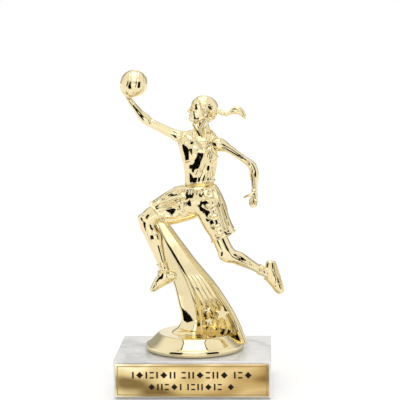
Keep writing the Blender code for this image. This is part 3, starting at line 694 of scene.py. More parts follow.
right_fingers = [
    finger([(-.58, .12, -.88), (-.74, .22, -.66), (-.88, .33, -.36), (-.93, .38, -.04), (-.92, .39, .12)], 0.42, 0.85, 0.6),
    finger([(-.50, .34, -.86), (-.66, .48, -.58), (-.74, .62, -.22), (-.72, .69, .12), (-.69, .70, .28)], 0.5, 0.88, 0.62),
    finger([(-.38, .50, -.84), (-.48, .70, -.52), (-.50, .84, -.15), (-.46, .87, .16), (-.44, .87, .26)], 0.5, 0.85, 0.6),
    finger([(-.24, .58, -.82), (-.26, .80, -.55), (-.22, .93, -.24), (-.18, .97, .02)], 0.48, 0.78, 0.55),
    finger([(-.22, -.10, -1.0), (-.33, -.30, -.90), (-.44, -.46, -.77), (-.54, -.56, -.63)], 0.42, 0.8, 0.58),
]
right_palm = Tube([(-29.4, 0.2, 141.4, 1.25, 1.7), (-30.4, 0.7, 142.6, 1.2, 2.1), (-31.2, 1.4, 143.6, 1.1, 2.5), (-31.9, 2.2, 144.5, 0.95, 2.6)])


def right_arm(P):
    d = right_arm_tube(P)
    for prim, k in arm_extra:
        d = add(d, P, prim, k, 2.0)
    d = add(d, P, right_palm, 0.7, 2.0)
    for n, f in enumerate(right_fingers):
        d = add(d, P, f, 0.22)
    d = fold(d, P, [(-19.6, 134.2), (-20.6, 132.6), (-20.2, 131.0)], -0.22, 0.5, y0=0.4)
    d = fold(d, P, [(-6.6, 126.0), (-11.0, 127.9), (-16.0, 130.4), (-20.4, 132.9)], -0.42, 0.42, y0=0.4, valley=0.6)
    d = fold(d, P, [(-8.6, 124.2), (-13.0, 126.6), (-18.0, 129.4)], -0.16, 0.5, y0=-0.2)
    d = fold(d, P, [(-22.4, 134.0), (-25.6, 137.8), (-28.8, 141.4)], 0.4, 0.42, y0=0.4, valley=0.6)
    return d


left_arm_tube = Tube(LEFT_ARM)
left_extra = [
    (Ellipsoid((13.4, -1.6, 120.9), (3.8, 3.0, 2.9), frame_of((0.9, 0, -0.35))), 1.6),
    (Ellipsoid((30.2, 1.3, 105.6), (2.2, 2.2, 3.4)), 0.9),
    (Ellipsoid((29.6, 2.8, 110.6), (1.5, 1.2, 1.3)), 0.7),
    (Ellipsoid((30.1, -0.6, 97.9), (1.3, 1.1, 0.9)), 0.5),
]
left_palm = Tube([(30.2, 0.6, 97.4, 1.4, 1.7), (30.1, 0.4, 95.6, 1.8, 2.3), (30.2, 0.2, 93.6, 1.75, 2.5), (30.1, 0.1, 92.2, 1.4, 2.4)])
left_fingers = [Tube([
    (31.1 - 0.12 * i, -2.0 + 1.25 * i, 92.9 + 0.12 * i, 0.88), (30.7 - 0.12 * i, -2.1 + 1.25 * i, 91.0 + 0.25 * i, 0.84),
    (29.2 - 0.06 * i, -2.1 + 1.22 * i, 90.6 + 0.28 * i, 0.8), (28.2, -2.0 + 1.2 * i, 91.8 + 0.25 * i, 0.76),
    (28.7, -1.8 + 1.15 * i, 93.2 + 0.2 * i, 0.68)], per=3) for i in range(4)]
left_thumb = Tube([(30.0, -1.0, 96.6, 0.95), (28.8, -1.5, 96.3, 0.78), (27.2, -1.4, 95.7, 0.66), (25.2, -0.9, 94.7, 0.46)], per=3)


def left_arm(P):
    d = left_arm_tube(P)
    for prim, k in left_extra:
        d = add(d, P, prim, k, 2.0)
    d = add(d, P, left_palm, 0.7, 2.0)
    for f in left_fingers:
        d = add(d, P, f, 0.2)
    d = add(d, P, left_thumb, 0.4)
    d = fold(d, P, [(27.0, 113.6), (28.4, 110.6), (28.6, 107.8)], -0.22, 0.5, y0=0.6)
    d = fold(d, P, [(12.0, 120.6), (16.4, 119.6), (20.4, 117.0), (25.6, 113.6)], -0.26, 0.5, y0=-0.4, valley=0.6)
    d = fold(d, P, [(14.6, 118.4), (19.0, 115.9), (24.0, 112.8)], -0.18, 0.5, y0=-0.4)
    d = fold(d, P, [(29.8, 107.6), (30.4, 103.0), (30.6, 98.6)], 0.26, 0.5, y0=0.4, valley=0.6)
    return d


# ------------------------------------------------------------------ legs
right_leg_tube, left_leg_tube = Tube(RIGHT_LEG), Tube(LEFT_LEG)
right_leg_extra = [
    (Ellipsoid((-24.9, 0.0, 84.3), (2.5, 2.9, 2.7), frame_of((-0.6, 0, -0.8))), 1.0),
    (Ellipsoid((-24.6, 0.3, 80.4), (1.6, 1.9, 1.9)), 0.9),
    (Ellipsoid((-18.7, 2.2, 74.6), (5.2, 3.2, 2.9), frame_of((0.35, 0, -0.94))), 1.2),
    (Ellipsoid((-18.6, 0.2, 75.4), (4.4, 3.4, 2.7), frame_of((0.35, 0, -0.94))), 1.2),
    (Ellipsoid((-15.2, -1.3, 58.4), (0.9, 0.8, 0.9)), 0.5),
]
left_leg_extra = [
    (Ellipsoid((15.0, -5.4, 66.6), (2.7, 2.6, 2.6)), 1.0), (Ellipsoid((17.2, -4.6, 65.0), (2.4, 2.4, 2.2)), 1.6),
    (Ellipsoid((22.6, -2.6, 65.0), (4.6, 3.5, 2.6), frame_of((0.88, 0.2, -0.44))), 1.2),
    (Ellipsoid((34.6, -0.6, 57.0), (0.9, 0.8, 0.9)), 0.5),
]


def sock(d, P, tube_d, point, normal):
    pd = plane(P, point, normal)
    near_end = np.abs(pd) < 6
    grown = tube_d - 0.28
    d = np.where((pd > 0) & near_end, smin(d, grown, 0.15), d)
    ribs = 0.05 * np.sin(pd * 9.0)
    d = d - np.where((pd > 0.2) & near_end, ribs, 0)
    d = ring(d, P, grown, pd, 0.42, 0.2)
    return ring(d, P, grown, pd - 1.0, 0.36, 0.2)


def right_leg(P):
    d = t = right_leg_tube(P)
    for prim, k in right_leg_extra:
        d = add(d, P, prim, k, 2.5)
    d = fold(d, P, [(-24.2, 81.0), (-21.6, 73.0), (-18.6, 65.0)], 0.22, 0.7, y0=0.6, valley=0.3)
    d = fold(d, P, [(-18.0, 84.6), (-18.4, 82.0), (-17.6, 79.4)], -0.3, 0.7, y0=1.2)
    return sock(d, P, t, (-16.0, 1.0, 61.6), (0.28, 0.0, -0.96))


def left_leg(P):
    d = t = left_leg_tube(P)
    for prim, k in left_leg_extra:
        d = add(d, P, prim, k, 2.5)
    d = fold(d, P, [(18.2, 70.6), (20.0, 67.0), (24.0, 64.6), (29.0, 62.0)], -0.3, 0.7, y0=-3.0)
    return sock(d, P, t, (32.3, 0.4, 58.7), (0.86, 0.26, -0.42))


# ------------------------------------------------------------------ shoes
class Shoe:
    def __init__(self, heel, y, forward, up, length, ankle, sections, droop):
        self.o = np.array([heel[0], y, heel[1]], float)
        self.f, self.u = np.array([forward[0], 0, forward[1]]), np.array([up[0], 0, up[1]])
        k = self.k = length / 13.7
        self.droop = droop
        self.upper = Tube([(*self.at(s * k, n), hn, hy) for s, n, hn, hy in sections])
        self.sole = Tube([(*self.at(s * k, n - self.sag(s)), hn, hy + 0.28) for s, n, hn, hy in (
            (-1.35, 0.62, 0.6, 1.5), (-0.4, 0.52, 0.62, 1.95), (1.5, 0.48, 0.62, 2.15), (4.5, 0.45, 0.58, 1.95),
            (7.0, 0.44, 0.55, 2.2), (9.5, 0.46, 0.55, 2.5), (11.4, 0.62, 0.52, 2.2), (12.7, 0.86, 0.45, 1.4))])
        a = np.array(ankle, float)
        base = self.at(3.3 * k, 3.6)
        self.collar = Tube([(*base, 2.6, 2.2), (*(base * 0.45 + a[:3] * 0.55), 2.45, 2.3), (*a[:3], 2.2, 2.3)], per=3)
        self.rim = a[:3], unit(a[:3] - base)
        self.tongue = Tube([(*self.at(7.6 * k, 4.3), 0.5, 1.0), (*self.at(6.2 * k, 5.5), 0.6, 1.25), (*self.at(5.2 * k, 7.0), 0.62, 1.3),
                            (*self.at(4.9 * k, 8.2), 0.5, 1.2)], per=3)
        self.laces = []
        for i, (s, n) in enumerate(((8.3, 4.15), (7.45, 4.75), (6.7, 5.5), (6.1, 6.35))):
            w = 1.45 - 0.08 * i
            p, q = self.at(s * k, n), self.at((s - 0.15) * k, n - 0.55)
            side = np.array([0, w, 0])
            top = np.array([0, 0.7, 0])
            self.laces.append(capsule((*(q - side), 0.24), (*(p - top), 0.24), (*(p + top), 0.24), (*(q + side), 0.24)))
        self.k_ = k

    def sag(self, s):
        """How far the sole bends down ahead of the ball of the foot."""
        return self.droop * smooth01((np.asarray(s) - 5.5) / 8.0)

    def at(self, s, n):
        return self.o + self.f * s + self.u * n

    def __call__(self, P):
        up = self.upper(P)
        d = smin(up, self.collar(P), 0.9)
        d = add(d, P, self.tongue, 0.35)
        skin = d.copy()
        q = P - self.o
        s, n = q @ self.f / self.k_, q @ self.u
        # moulded panels: toe cap, heel counter and a stitched line along the side
        for line in ([(9.4, 0.8), (9.0, 2.4), (9.3, 4.2)], [(0.4, 0.8), (1.9, 2.6), (1.4, 5.6)],
                     [(1.9, 2.6), (4.6, 2.0), (7.0, 2.6), (8.2, 3.8)]):
            dist, _, t = line2(s, n, line)
            d = d + 0.16 * np.exp(-(dist / 0.22) ** 2) * (np.abs(skin) < 1.5)
        n = n + self.sag(s)
        d = d + 0.22 * np.exp(-((n - 1.12) / 0.2) ** 2)
        sole = self.sole(P)
        sole = sole + 0.06 * np.cos(s * 7.5) * (n < 0.45)
        d = smin(d, sole, 0.12)
        for lace in self.laces:
            d = add(d, P, lace, 0.1)
        pd = plane(P, *self.rim)
        d = smax(d, pd, 0.25)
        d = ring(d, P, self.collar(P), pd + 0.35, 0.4, 0.2)
        return d


right_shoe = Shoe((-10.1, 52.8), 0.9, (-0.893, -0.450), (-0.450, 0.893), 13.0, (-14.6, 0.85, 58.2), [
    (-1.2, 2.5, 2.0, 1.7), (0.6, 3.3, 2.9, 2.05), (3.0, 3.7, 3.5, 2.2), (6.0, 3.1, 3.1, 2.25),
    (8.6, 2.3, 2.4, 2.5), (10.8, 1.5, 1.8, 2.5), (12.4, 0.95, 1.2, 1.9)], 0.55)
left_shoe = Shoe((40.9, 61.0), 2.0, (0.316, -0.949), (-0.949, -0.316), 14.4, (35.0, 1.5, 57.0), [
    (-1.0, 2.7, 2.5, 1.8), (0.9, 3.5, 3.3, 2.1), (3.3, 4.1, 4.1, 2.25), (6.4, 3.6, 3.6, 2.35),
    (9.0, 3.0, 3.1, 2.5), (11.0, 2.75, 2.8, 2.5), (12.3, 2.5, 2.3, 2.1)], -0.25)


# ------------------------------------------------------------------ head
ct, st, cr, sr = math.cos(HEAD_TILT), math.sin(HEAD_TILT), math.cos(HEAD_TURN), math.sin(HEAD_TURN)
HEAD_F = np.array([-ct * cr, -ct * sr, st])
HEAD_U = np.array([st * cr, st * sr, ct])
HEAD_S = np.cross(HEAD_U, HEAD_F)


def hp(a, b, c, *r):
    """A point given forward, sideways and upward from the middle of the head."""
    p = HEAD_O + HEAD_F * a + HEAD_S * b + HEAD_U * c
    return (*p, *r)


HEAD_M = np.stack([HEAD_F, HEAD_S, HEAD_U], 1)


def he(a, b, c, radii):
    return Ellipsoid(hp(a, b, c), radii, HEAD_M)


skull = he(-0.7, 0, 1.5, (5.9, 4.55, 5.0))
face_soft = [
    (he(1.9, 0, -1.7, (3.55, 3.5, 4.3)), 1.4), (he(3.1, 0, 1.9, (2.5, 3.6, 2.6)), 1.4),
    (he(3.5, 0, -4.9, (1.9, 1.6, 1.7)), 1.2),
    (he(3.5, 1.9, -1.9, (1.5, 1.35, 1.35)), 0.9), (he(3.5, -1.9, -1.9, (1.5, 1.35, 1.35)), 0.9),
    (he(2.3, 1.7, -3.7, (1.9, 1.5, 2.0)), 1.3), (he(2.3, -1.7, -3.7, (1.9, 1.5, 2.0)), 1.3),
]
jaw_lines = [capsule(hp(-0.9, s * 3.2, -2.9, 1.15), hp(0.6, s * 2.9, -4.6, 1.1), hp(3.0, s * 1.3, -5.7, 1.0), hp(4.1, 0, -5.8, 1.0)) for s in (1, -1)]
brows = [capsule(hp(5.15, s * 0.5, 0.95, 0.42), hp(5.0, s * 1.5, 1.25, 0.42), hp(4.2, s * 2.6, 1.0, 0.36)) for s in (1, -1)]
sockets = [he(5.75, s * 1.45, 0.05, (0.95, 1.05, 0.72)) for s in (1, -1)]
eyes = [he(4.42, s * 1.5, 0.0, (0.78, 0.8, 0.74)) for s in (1, -1)]
lids = [capsule(hp(5.0, s * 0.72, -0.02, 0.13), hp(5.27, s * 1.15, 0.34, 0.15), hp(5.18, s * 1.7, 0.40, 0.15), hp(4.72, s * 2.25, 0.1, 0.12)) for s in (1, -1)]
lower_lids = [capsule(hp(4.98, s * 0.8, -0.12, 0.10), hp(5.12, s * 1.4, -0.42, 0.12), hp(4.75, s * 2.2, -0.1, 0.10)) for s in (1, -1)]
nose = Tube([hp(5.05, 0, 0.9, 0.5, 0.42), hp(5.5, 0, -0.2, 0.5, 0.42), hp(6.1, 0, -1.5, 0.55, 0.5), hp(6.45, 0, -2.35, 0.6, 0.62)], per=3)
nose_tip = he(6.35, 0, -2.45, (0.72, 0.68, 0.58))
wings = [he(5.6, s * 0.72, -2.65, (0.62, 0.42, 0.45)) for s in (1, -1)]
nostrils = [he(5.95, s * 0.38, -3.12, (0.32, 0.18, 0.24)) for s in (1, -1)]
lip_up = capsule(hp(4.95, 1.25, -4.22, 0.22), hp(5.45, 0.45, -3.98, 0.34), hp(5.5, 0, -4.08, 0.30), hp(5.45, -0.45, -3.98, 0.34), hp(4.95, -1.25, -4.22, 0.22))
lip_low = capsule(hp(4.95, 1.1, -4.42, 0.2), hp(5.3, 0.5, -4.66, 0.36), hp(5.3, -0.5, -4.66, 0.36), hp(4.95, -1.1, -4.42, 0.2))
mouth = capsule(hp(5.1, 1.35, -4.27, 0.09), hp(5.85, 0.5, -4.3, 0.12), hp(5.9, 0, -4.33, 0.12), hp(5.85, -0.5, -4.3, 0.12), hp(5.1, -1.35, -4.27, 0.09))
chin_dip = he(5.55, 0, -5.25, (0.45, 0.8, 0.3))
ears = [(he(-1.5, s * 4.35, -1.1, (1.15, 0.62, 1.85)), he(-1.3, s * 4.85, -0.95, (0.68, 0.42, 1.2)),
         capsule(hp(-0.75, s * 4.5, -0.9, 0.25), hp(-0.8, s * 4.45, -1.6, 0.28)), he(-1.1, s * 4.2, -2.6, (0.6, 0.42, 0.6))) for s in (1, -1)]
hair_cap = [he(-0.9, 0, 1.55, (6.5, 5.0, 5.35)), he(-3.4, 0, -1.0, (3.9, 4.3, 3.9))]
HAIR_LINE = [(4.4, 9.0), (4.25, 5.2), (3.75, 4.0), (2.6, 2.7), (1.5, 1.1), (0.75, -1.0), (-0.1, -2.2), (-0.5, -0.2),
             (-1.6, 1.0), (-2.8, 0.4), (-2.9, -2.6), (-2.7, -4.2), (-4.4, -5.6), (-9.0, -6.0), (-9.0, 9.0)]
neck_tube = Tube(NECK)
neck_extra = [
    (capsule(hp(-2.6, 3.1, -4.0, 0.9), (4.0, -3.0, 128.2, 0.72), (5.3, -3.5, 124.6, 0.62), (5.6, -4.4, 121.6, 0.55)), 0.5),
    (capsule(hp(-2.6, -3.1, -4.0, 0.9), (6.4, -2.2, 128.6, 0.7), (6.6, -3.4, 124.8, 0.6), (6.3, -4.4, 121.8, 0.5)), 0.5),
    (capsule((1.2, -0.6, 130.6, 1.3), (2.9, -1.5, 127.0, 1.2), (4.4, -2.6, 123.6, 1.0)), 0.8),
    (Tube([(-1.2, 1.0, 124.8, 1.6), (2.4, 1.6, 127.6, 1.9), (4.4, 1.8, 130.8, 2.2)]), 1.2),
    (Tube([(10.2, 0.2, 124.2, 1.5), (7.4, 1.4, 127.2, 1.8), (5.6, 1.8, 130.8, 2.2)]), 1.2),
]


def head(P):
    d = skull(P)
    for prim, k in face_soft:
        d = add(d, P, prim, k, 4.0)
    for prim in jaw_lines:
        d = add(d, P, prim, 1.0, 3.0)
    neck = neck_tube(P)
    for prim, k in neck_extra:
        neck = add(neck, P, prim, k, 3.0)
    neck = smax(neck, -plane(P, (4.6, -2.0, 121.0), (0.15, -0.25, 1.0)), 0.4)
    for prim in brows:
        d = add(d, P, prim, 0.5)
    for prim in sockets:
        d = cut(d, P, prim, 0.55)
    for prim in eyes:
        d = add(d, P, prim, 0.08)
    for prim in lids + lower_lids:
        d = add(d, P, prim, 0.12)
    d = add(d, P, nose, 0.45)
    d = add(d, P, nose_tip, 0.3)
    for prim in wings:
        d = add(d, P, prim, 0.2)
    for prim in nostrils:
        d = cut(d, P, prim, 0.12)
    d = add(d, P, lip_up, 0.3)
    d = add(d, P, lip_low, 0.3)
    d = cut(d, P, mouth, 0.1)
    d = cut(d, P, chin_dip, 0.5)
    d = smin(d, neck, 0.7)
    for shell, inner, tragus, lobe in ears:
        e = shell(P)
        e = smin(e, lobe(P), 0.3)
        e = smax(e, -inner(P), 0.25)
        e = smin(e, tragus(P), 0.15)
        d = smin(d, e, 0.25)
    # hair drawn back to the tie, in locks that run along the head
    i = near(P, HEAD_O, HEAD_O, 9.5)
    if len(i):
        q = (P[i] - HEAD_O) @ HEAD_M
        a, b, c = q.T
        hair = smin(hair_cap[0](P[i]), hair_cap[1](P[i]), 1.2)
        root = np.array([-7.0, 0.0, 0.4])
        around = np.arctan2(c - root[2], b)
        along = a - root[0]
        wave = 0.16 * np.sin(along * 1.1 + 2.0 * np.sin(around * 2)) + 0.05 * np.sin(along * 3.1)
        low = smooth01((1.6 - c) / 3.0)
        fade = smooth01(along / 1.5) * (0.22 + 1.35 * low)
        phase = around * 11 + wave * 9
        lock = 1.0 - np.abs(np.sin(phase)) ** 0.7
        curl = np.sin(along * 1.9 + 1.6 * np.sin(around * 4)) * np.sin(around * 8 + along * 0.8)
        hair = hair + 0.46 * fade * lock + 0.85 * low * smooth01((a + 8.5) / 3) * curl - 0.2
        edge = poly2(a, c, HAIR_LINE)
        edge = edge + 0.12 * np.sin(a * 5 + c * 4)
        hair = smax(hair, edge, 0.45)
        d[i] = smin(d[i], hair, 0.15)
    return d


# ------------------------------------------------------------------ ponytail
tail_tube = Tube(PONYTAIL)
tail_rows = catmull(PONYTAIL, 6)
tail_step = np.concatenate([[0], np.cumsum(np.linalg.norm(np.diff(tail_rows[:, :3], axis=0), axis=1))])
tail_locks = []
for n in range(5):
    rows = []
    for p, s in zip(tail_rows[::3], tail_step[::3]):
        a = 2 * math.pi * n / 5 + 0.20 * s
        off = 0.62 * p[3]
        rows.append((p[0], p[1] + off * math.cos(a), p[2] + off * math.sin(a), 0.55 * p[3]))
    tail_locks.append(Tube(rows, per=2))


def ponytail(P):
    d = tail_tube(P) + 0.22
    for t in tail_locks:
        d = smin(d, t(P), 0.14)
    q = P - np.array([16.9, 0.0, 136.0])
    n = unit((0.95, 0, 0.2))
    s = q @ n
    rad = np.sqrt(np.maximum((q * q).sum(1) - s * s, 0))
    tie = np.hypot(np.maximum(np.abs(s) - 0.55, 0), rad - 1.12) - 0.34
    return smin(d, tie + 0.05 * np.sin(s * 14), 0.12)


# ------------------------------------------------------------------ riser
def at(rows, z, column):
    rows = np.array(rows, float)
    return np.interp(z, rows[:, 0], rows[:, column])


def smooth_rows(rows, per=10):
    r = catmull(rows, per)
    return r[np.argsort(r[:, 0])]


RISER_S, RISER_YS = smooth_rows(RISER), smooth_rows(RISER_Y)


def riser_front(z, u):
    left, rib, line, right = (at(RISER_S, z, c) for c in (1, 2, 3, 4))
    hollow, y0 = at(RISER_S, z, 5), at(RISER_YS, z, 1)
    t1, t2, t3 = np.clip(u / 0.3, 0, 1), np.clip((u - 0.3) / 0.5, 0, 1), np.clip((u - 0.8) / 0.2, 0, 1)
    x = np.where(u < 0.3, left + (rib - left) * t1, np.where(u < 0.8, rib + (line - rib) * t2, line + (right - line) * t3))
    y = np.where(u < 0.3, y0 + np.maximum(hollow - 2.2, 0) * 0.5 * (1 - t1) ** 1.7 + 0.25 * (1 - t1) ** 2,
                 np.where(u < 0.8, y0 + hollow * np.minimum(1, t2 * 5) ** 0.8, y0 + hollow * (1 - 0.55 * np.sin(math.pi * np.minimum(0.75, t3 * 0.9)))))
    # pleats that fan out down the hollow wall, and twin beads on the right band
    grow = smooth01((62.5 - z) / 26)
    n = t2 * 5.0
    tooth = n - np.floor(n)
    saw = np.where(tooth < 0.86, tooth / 0.86, (1 - tooth) / 0.14)
    wall = (u >= 0.3) & (u < 0.8)
    y = y - np.where(wall & (t2 > 0.14), (0.25 + 1.15 * grow) * grow * saw, 0)
    bead = np.abs(np.sin(math.pi * 2 * t3)) ** 0.8
    y = y - np.where(u >= 0.8, 0.72 * bead, 0)
    y = y + 0.55 * np.exp(-((u - 0.803) / 0.011) ** 2)
    return x, y


def riser_mesh():
    dense = 1.0
    cols = np.concatenate([np.linspace(0, 0.3, int(26 * dense), endpoint=False), np.linspace(0.3, 0.8, int(92 * dense), endpoint=False),
                           np.linspace(0.8, 1.0, int(30 * dense))])
    rows = np.linspace(21.6, 82.2, int(174 * dense))
    Z, U = np.meshgrid(rows, cols, indexing="ij")
    X, Y = riser_front(Z, U)
    half = at(RISER_S, Z, 6)
    reach = np.minimum(X - X[:, :1], X[:, -1:] - X)
    soft = np.minimum(1.1, 0.3 * (X[:, -1:] - X[:, :1]))
    bend = soft - np.sqrt(np.maximum(soft ** 2 - np.maximum(soft - reach, 0) ** 2, 0))
    edge = 1 - bend / half
    front = np.stack([X, Y + bend, Z], 2)
    back_y = np.maximum(Y, at(RISER_YS, Z, 1) + at(RISER_S, Z, 5) * 0.5)
    # the back stays smooth: it follows the front without its pleats
    k = 9
    pad = np.pad(back_y, ((0, 0), (k, k)), mode="edge")
    back_y = sum(pad[:, i:i + back_y.shape[1]] for i in range(2 * k + 1)) / (2 * k + 1)
    flute = 0.5 * np.abs(np.sin(math.pi * 4 * U)) ** 1.5
    back_y = np.maximum(back_y + half * 2 - bend - flute, front[..., 1] + 0.2 + np.maximum(half * 1.1 - bend, 0))
    back = np.stack([X, back_y, Z], 2)
    nz, nu = Z.shape
    loop = np.concatenate([front, back[:, ::-1]], 1)
    m = loop.shape[1]
    V = loop.reshape(-1, 3)
    i, j = np.meshgrid(np.arange(nz - 1), np.arange(m), indexing="ij")
    i, j = i.ravel(), j.ravel()
    F = np.stack([i * m + j, i * m + (j + 1) % m, (i + 1) * m + (j + 1) % m, (i + 1) * m + j], 1)
    caps = []
    for row, flip in ((0, True), (nz - 1, False)):
        a = row * m
        for j in range(nu - 1):
            quad = [a + j, a + j + 1, a + m - 2 - j, a + m - 1 - j]
            caps.append(quad[::-1] if flip else quad)
    return make_mesh("comet_riser", V * 0.001, np.concatenate([F, np.array(caps)]))


def star_mesh(name, x, z, r, turn):
    """A five-pointed star that stands proud of the pleats, with a soft chamfer."""
    y = min(riser_front(np.array([z + dz]), np.array([u]))[1][0] for dz in (-r * .6, 0, r * .6) for u in (0.45, 0.55, 0.65, 0.75))
    zz, uu = np.array([z]), np.linspace(0.3, 1.0, 200)
    xs, ys = riser_front(np.full(200, z), uu)
    front_y = ys[np.abs(xs - x) < r * 0.9].min()
    V, F = [], []
    lean = math.atan2(at(RISER_YS, z + 3, 1) - at(RISER_YS, z - 3, 1), 6.0)
    rings = [(1.0, 1.6), (1.0, -0.55), (0.96, -0.75), (0.80, -0.95)]
    for scale, dy in rings:
        for i in range(10):
            a = math.pi / 2 + turn + math.pi * i / 5
            rr = (r if i % 2 == 0 else r * 0.46) * scale
            px, pz = rr * math.cos(a), rr * math.sin(a)
            V.append((x + px, front_y + dy + pz * math.tan(lean) * 0.8, z + pz))
    for k in range(len(rings) - 1):
        for i in range(10):
            F.append((k * 10 + i, k * 10 + (i + 1) % 10, (k + 1) * 10 + (i + 1) % 10, (k + 1) * 10 + i))
    tri = []
    c0, c1 = len(V), len(V) + 1
    V.append((x, front_y + 1.6, z))
    V.append((x, front_y - 1.15, z))
    for i in range(10):
        tri.append((c0, (i + 1) % 10, i))
        tri.append((30 + i, 30 + (i + 1) % 10, c1))
    for f in F:
        tri += [(f[0], f[1], f[2]), (f[0], f[2], f[3])]
    return make_mesh(name, np.array(V) * 0.001, np.array(tri), smooth=False)


def lathe(name, profile, sides=180, centre=(0.0, 0.0)):
    """A closed turned body; the profile is r, z from the axis round and back to the axis."""
    prof = [p for p in profile]
    V, rings = [], []
    for r, z in prof:
        if r < 1e-6:
            rings.append([len(V)])
            V.append((centre[0], centre[1], z))
        else:
            rings.append(list(range(len(V), len(V) + sides)))
            for i in range(sides):
                a = 2 * math.pi * i / sides
                V.append((centre[0] + r * math.cos(a), centre[1] + r * math.sin(a), z))
    T = []
    for A, B in zip(rings[:-1], rings[1:]):
        for i in range(sides):
            j = (i + 1) % sides
            if len(A) == 1 and len(B) > 1:
                T.append((A[0], B[j], B[i]))
            elif len(B) == 1 and len(A) > 1:
                T.append((A[i], A[j], B[0]))
            elif len(A) > 1:
                T.append((A[i], A[j], B[j]))
                T.append((A[i], B[j], B[i]))
    return make_mesh(name, np.array(V) * 0.001, np.array(T))


def rounded(profile, radius, steps=4):
    """The profile with each inner corner turned into a short arc."""
    out = [profile[0]]
    for a, b, c in zip(profile[:-2], profile[1:-1], profile[2:]):
        a, b, c = np.array(a, float), np.array(b, float), np.array(c, float)
        u, v = unit(a - b), unit(c - b)
        la, lc = np.linalg.norm(a - b), np.linalg.norm(c - b)
        k = min(radius, 0.45 * la, 0.45 * lc)
        if abs(u @ v) > 0.995:
            out.append(tuple(b))
            continue
        p, q = b + u * k, b + v * k
        for i in range(steps + 1):
            t = i / steps
            out.append(tuple((1 - t) ** 2 * p + 2 * t * (1 - t) * b + t * t * q))
    out.append(profile[-1])
    return out
# ------------------------------------------------------------------ materials
def nodes_of(mat):
    mat.use_nodes = True
    nt = mat.node_tree
    return nt, nt.nodes["Principled BSDF"]


def link(nt, a, b):
    nt.links.new(a, b)


def noise(nt, coord, scale, detail=3.0, rough=0.5, distortion=0.0):
    n = nt.nodes.new("ShaderNodeTexNoise")
    n.inputs["Scale"].default_value = scale
    n.inputs["Detail"].default_value = detail
    n.inputs["Roughness"].default_value = rough
    n.inputs["Distortion"].default_value = distortion
    link(nt, coord, n.inputs["Vector"])
    return n.outputs["Fac"]


def ramp(nt, fac, stops):
    r = nt.nodes.new("ShaderNodeValToRGB")
    e = r.color_ramp.elements
    while len(e) < len(stops):
        e.new(0.5)
    for el, (p, c) in zip(e, stops):
        el.position = p
        el.color = c if len(c) == 4 else (*c, 1)
    link(nt, fac, r.inputs["Fac"])
    return r.outputs["Color"]


def bump(nt, shader, height, strength, distance):
    b = nt.nodes.new("ShaderNodeBump")
    b.inputs["Strength"].default_value = strength
    b.inputs["Distance"].default_value = distance
    link(nt, height, b.inputs["Height"])
    link(nt, b.outputs["Normal"], shader.inputs["Normal"])


def coords(nt):
    return nt.nodes.new("ShaderNodeTexCoord").outputs["Object"]


def stretched(nt, coord, scale):
    m = nt.nodes.new("ShaderNodeMapping")
    m.inputs["Scale"].default_value = scale
    link(nt, coord, m.inputs["Vector"])
    return m.outputs["Vector"]


def gold_material(name, lo, hi, rough=(0.05, 0.12), pebble=0.0):
    mat = bpy.data.materials.new(name)
    nt, sh = nodes_of(mat)
    c = coords(nt)
    sh.inputs["Metallic"].default_value = 1.0
    link(nt, ramp(nt, noise(nt, c, 90.0, 4.0, 0.55), [(0.32, lo), (0.72, hi)]), sh.inputs["Base Color"])
    link(nt, ramp(nt, noise(nt, c, 260.0, 3.0), [(0.35, (rough[0],) * 3), (0.75, (rough[1],) * 3)]), sh.inputs["Roughness"])
    if pebble:
        bump(nt, sh, noise(nt, c, 3200.0, 1.0), pebble, 0.0001)
    else:
        bump(nt, sh, noise(nt, c, 520.0, 2.0), 0.05, 0.0002)
    return mat


gold = gold_material("gold_metallised", (0.83, 0.71, 0.42), (0.885, 0.78, 0.505))
gold_ball = gold_material("gold_ball", (0.83, 0.71, 0.42), (0.885, 0.78, 0.505), (0.07, 0.13), 0.05)


def marble_material():
    mat = bpy.data.materials.new("veined_white_marble")
    nt, sh = nodes_of(mat)
    c = coords(nt)
    warp = noise(nt, c, 26.0, 5.0, 0.6)
    mix = nt.nodes.new("ShaderNodeVectorMath")
    mix.operation = "MULTIPLY_ADD"
    comb = nt.nodes.new("ShaderNodeCombineXYZ")
    for s in ("X", "Y", "Z"):
        link(nt, warp, comb.inputs[s])
    link(nt, comb.outputs["Vector"], mix.inputs[0])
    mix.inputs[1].default_value = (0.05, 0.04, -0.05)
    link(nt, c, mix.inputs[2])
    w = nt.nodes.new("ShaderNodeTexWave")
    w.wave_type, w.bands_direction, w.wave_profile = "BANDS", "DIAGONAL", "SIN"
    w.inputs["Scale"].default_value = 9.0
    w.inputs["Distortion"].default_value = 7.0
    w.inputs["Detail"].default_value = 4.0
    w.inputs["Detail Scale"].default_value = 1.6
    link(nt, mix.outputs["Vector"], w.inputs["Vector"])
    veins = ramp(nt, w.outputs["Fac"], [(0.0, (0.58, 0.585, 0.60)), (0.06, (0.68, 0.685, 0.69)), (0.22, (0.78, 0.78, 0.775)), (1.0, (0.82, 0.815, 0.805))])
    cloud = ramp(nt, noise(nt, c, 55.0, 6.0, 0.62, 0.8), [(0.30, (0.80, 0.81, 0.82)), (0.62, (1.0, 1.0, 0.995))])
    mul = nt.nodes.new("ShaderNodeMix")
    mul.data_type, mul.blend_type = "RGBA", "MULTIPLY"
    mul.inputs["Factor"].default_value = 0.8
    link(nt, veins, mul.inputs["A"])
    link(nt, cloud, mul.inputs["B"])
    link(nt, mul.outputs["Result"], sh.inputs["Base Color"])
    sh.inputs["Subsurface Weight"].default_value = 0.15
    sh.inputs["Subsurface Radius"].default_value = (0.003, 0.003, 0.0028)
    sh.inputs["Subsurface Scale"].default_value = 1.0
    link(nt, ramp(nt, noise(nt, c, 300.0, 3.0), [(0.3, (0.13,) * 3), (0.7, (0.24,) * 3)]), sh.inputs["Roughness"])
    bump(nt, sh, noise(nt, c, 900.0, 2.0), 0.03, 0.0001)
    return mat


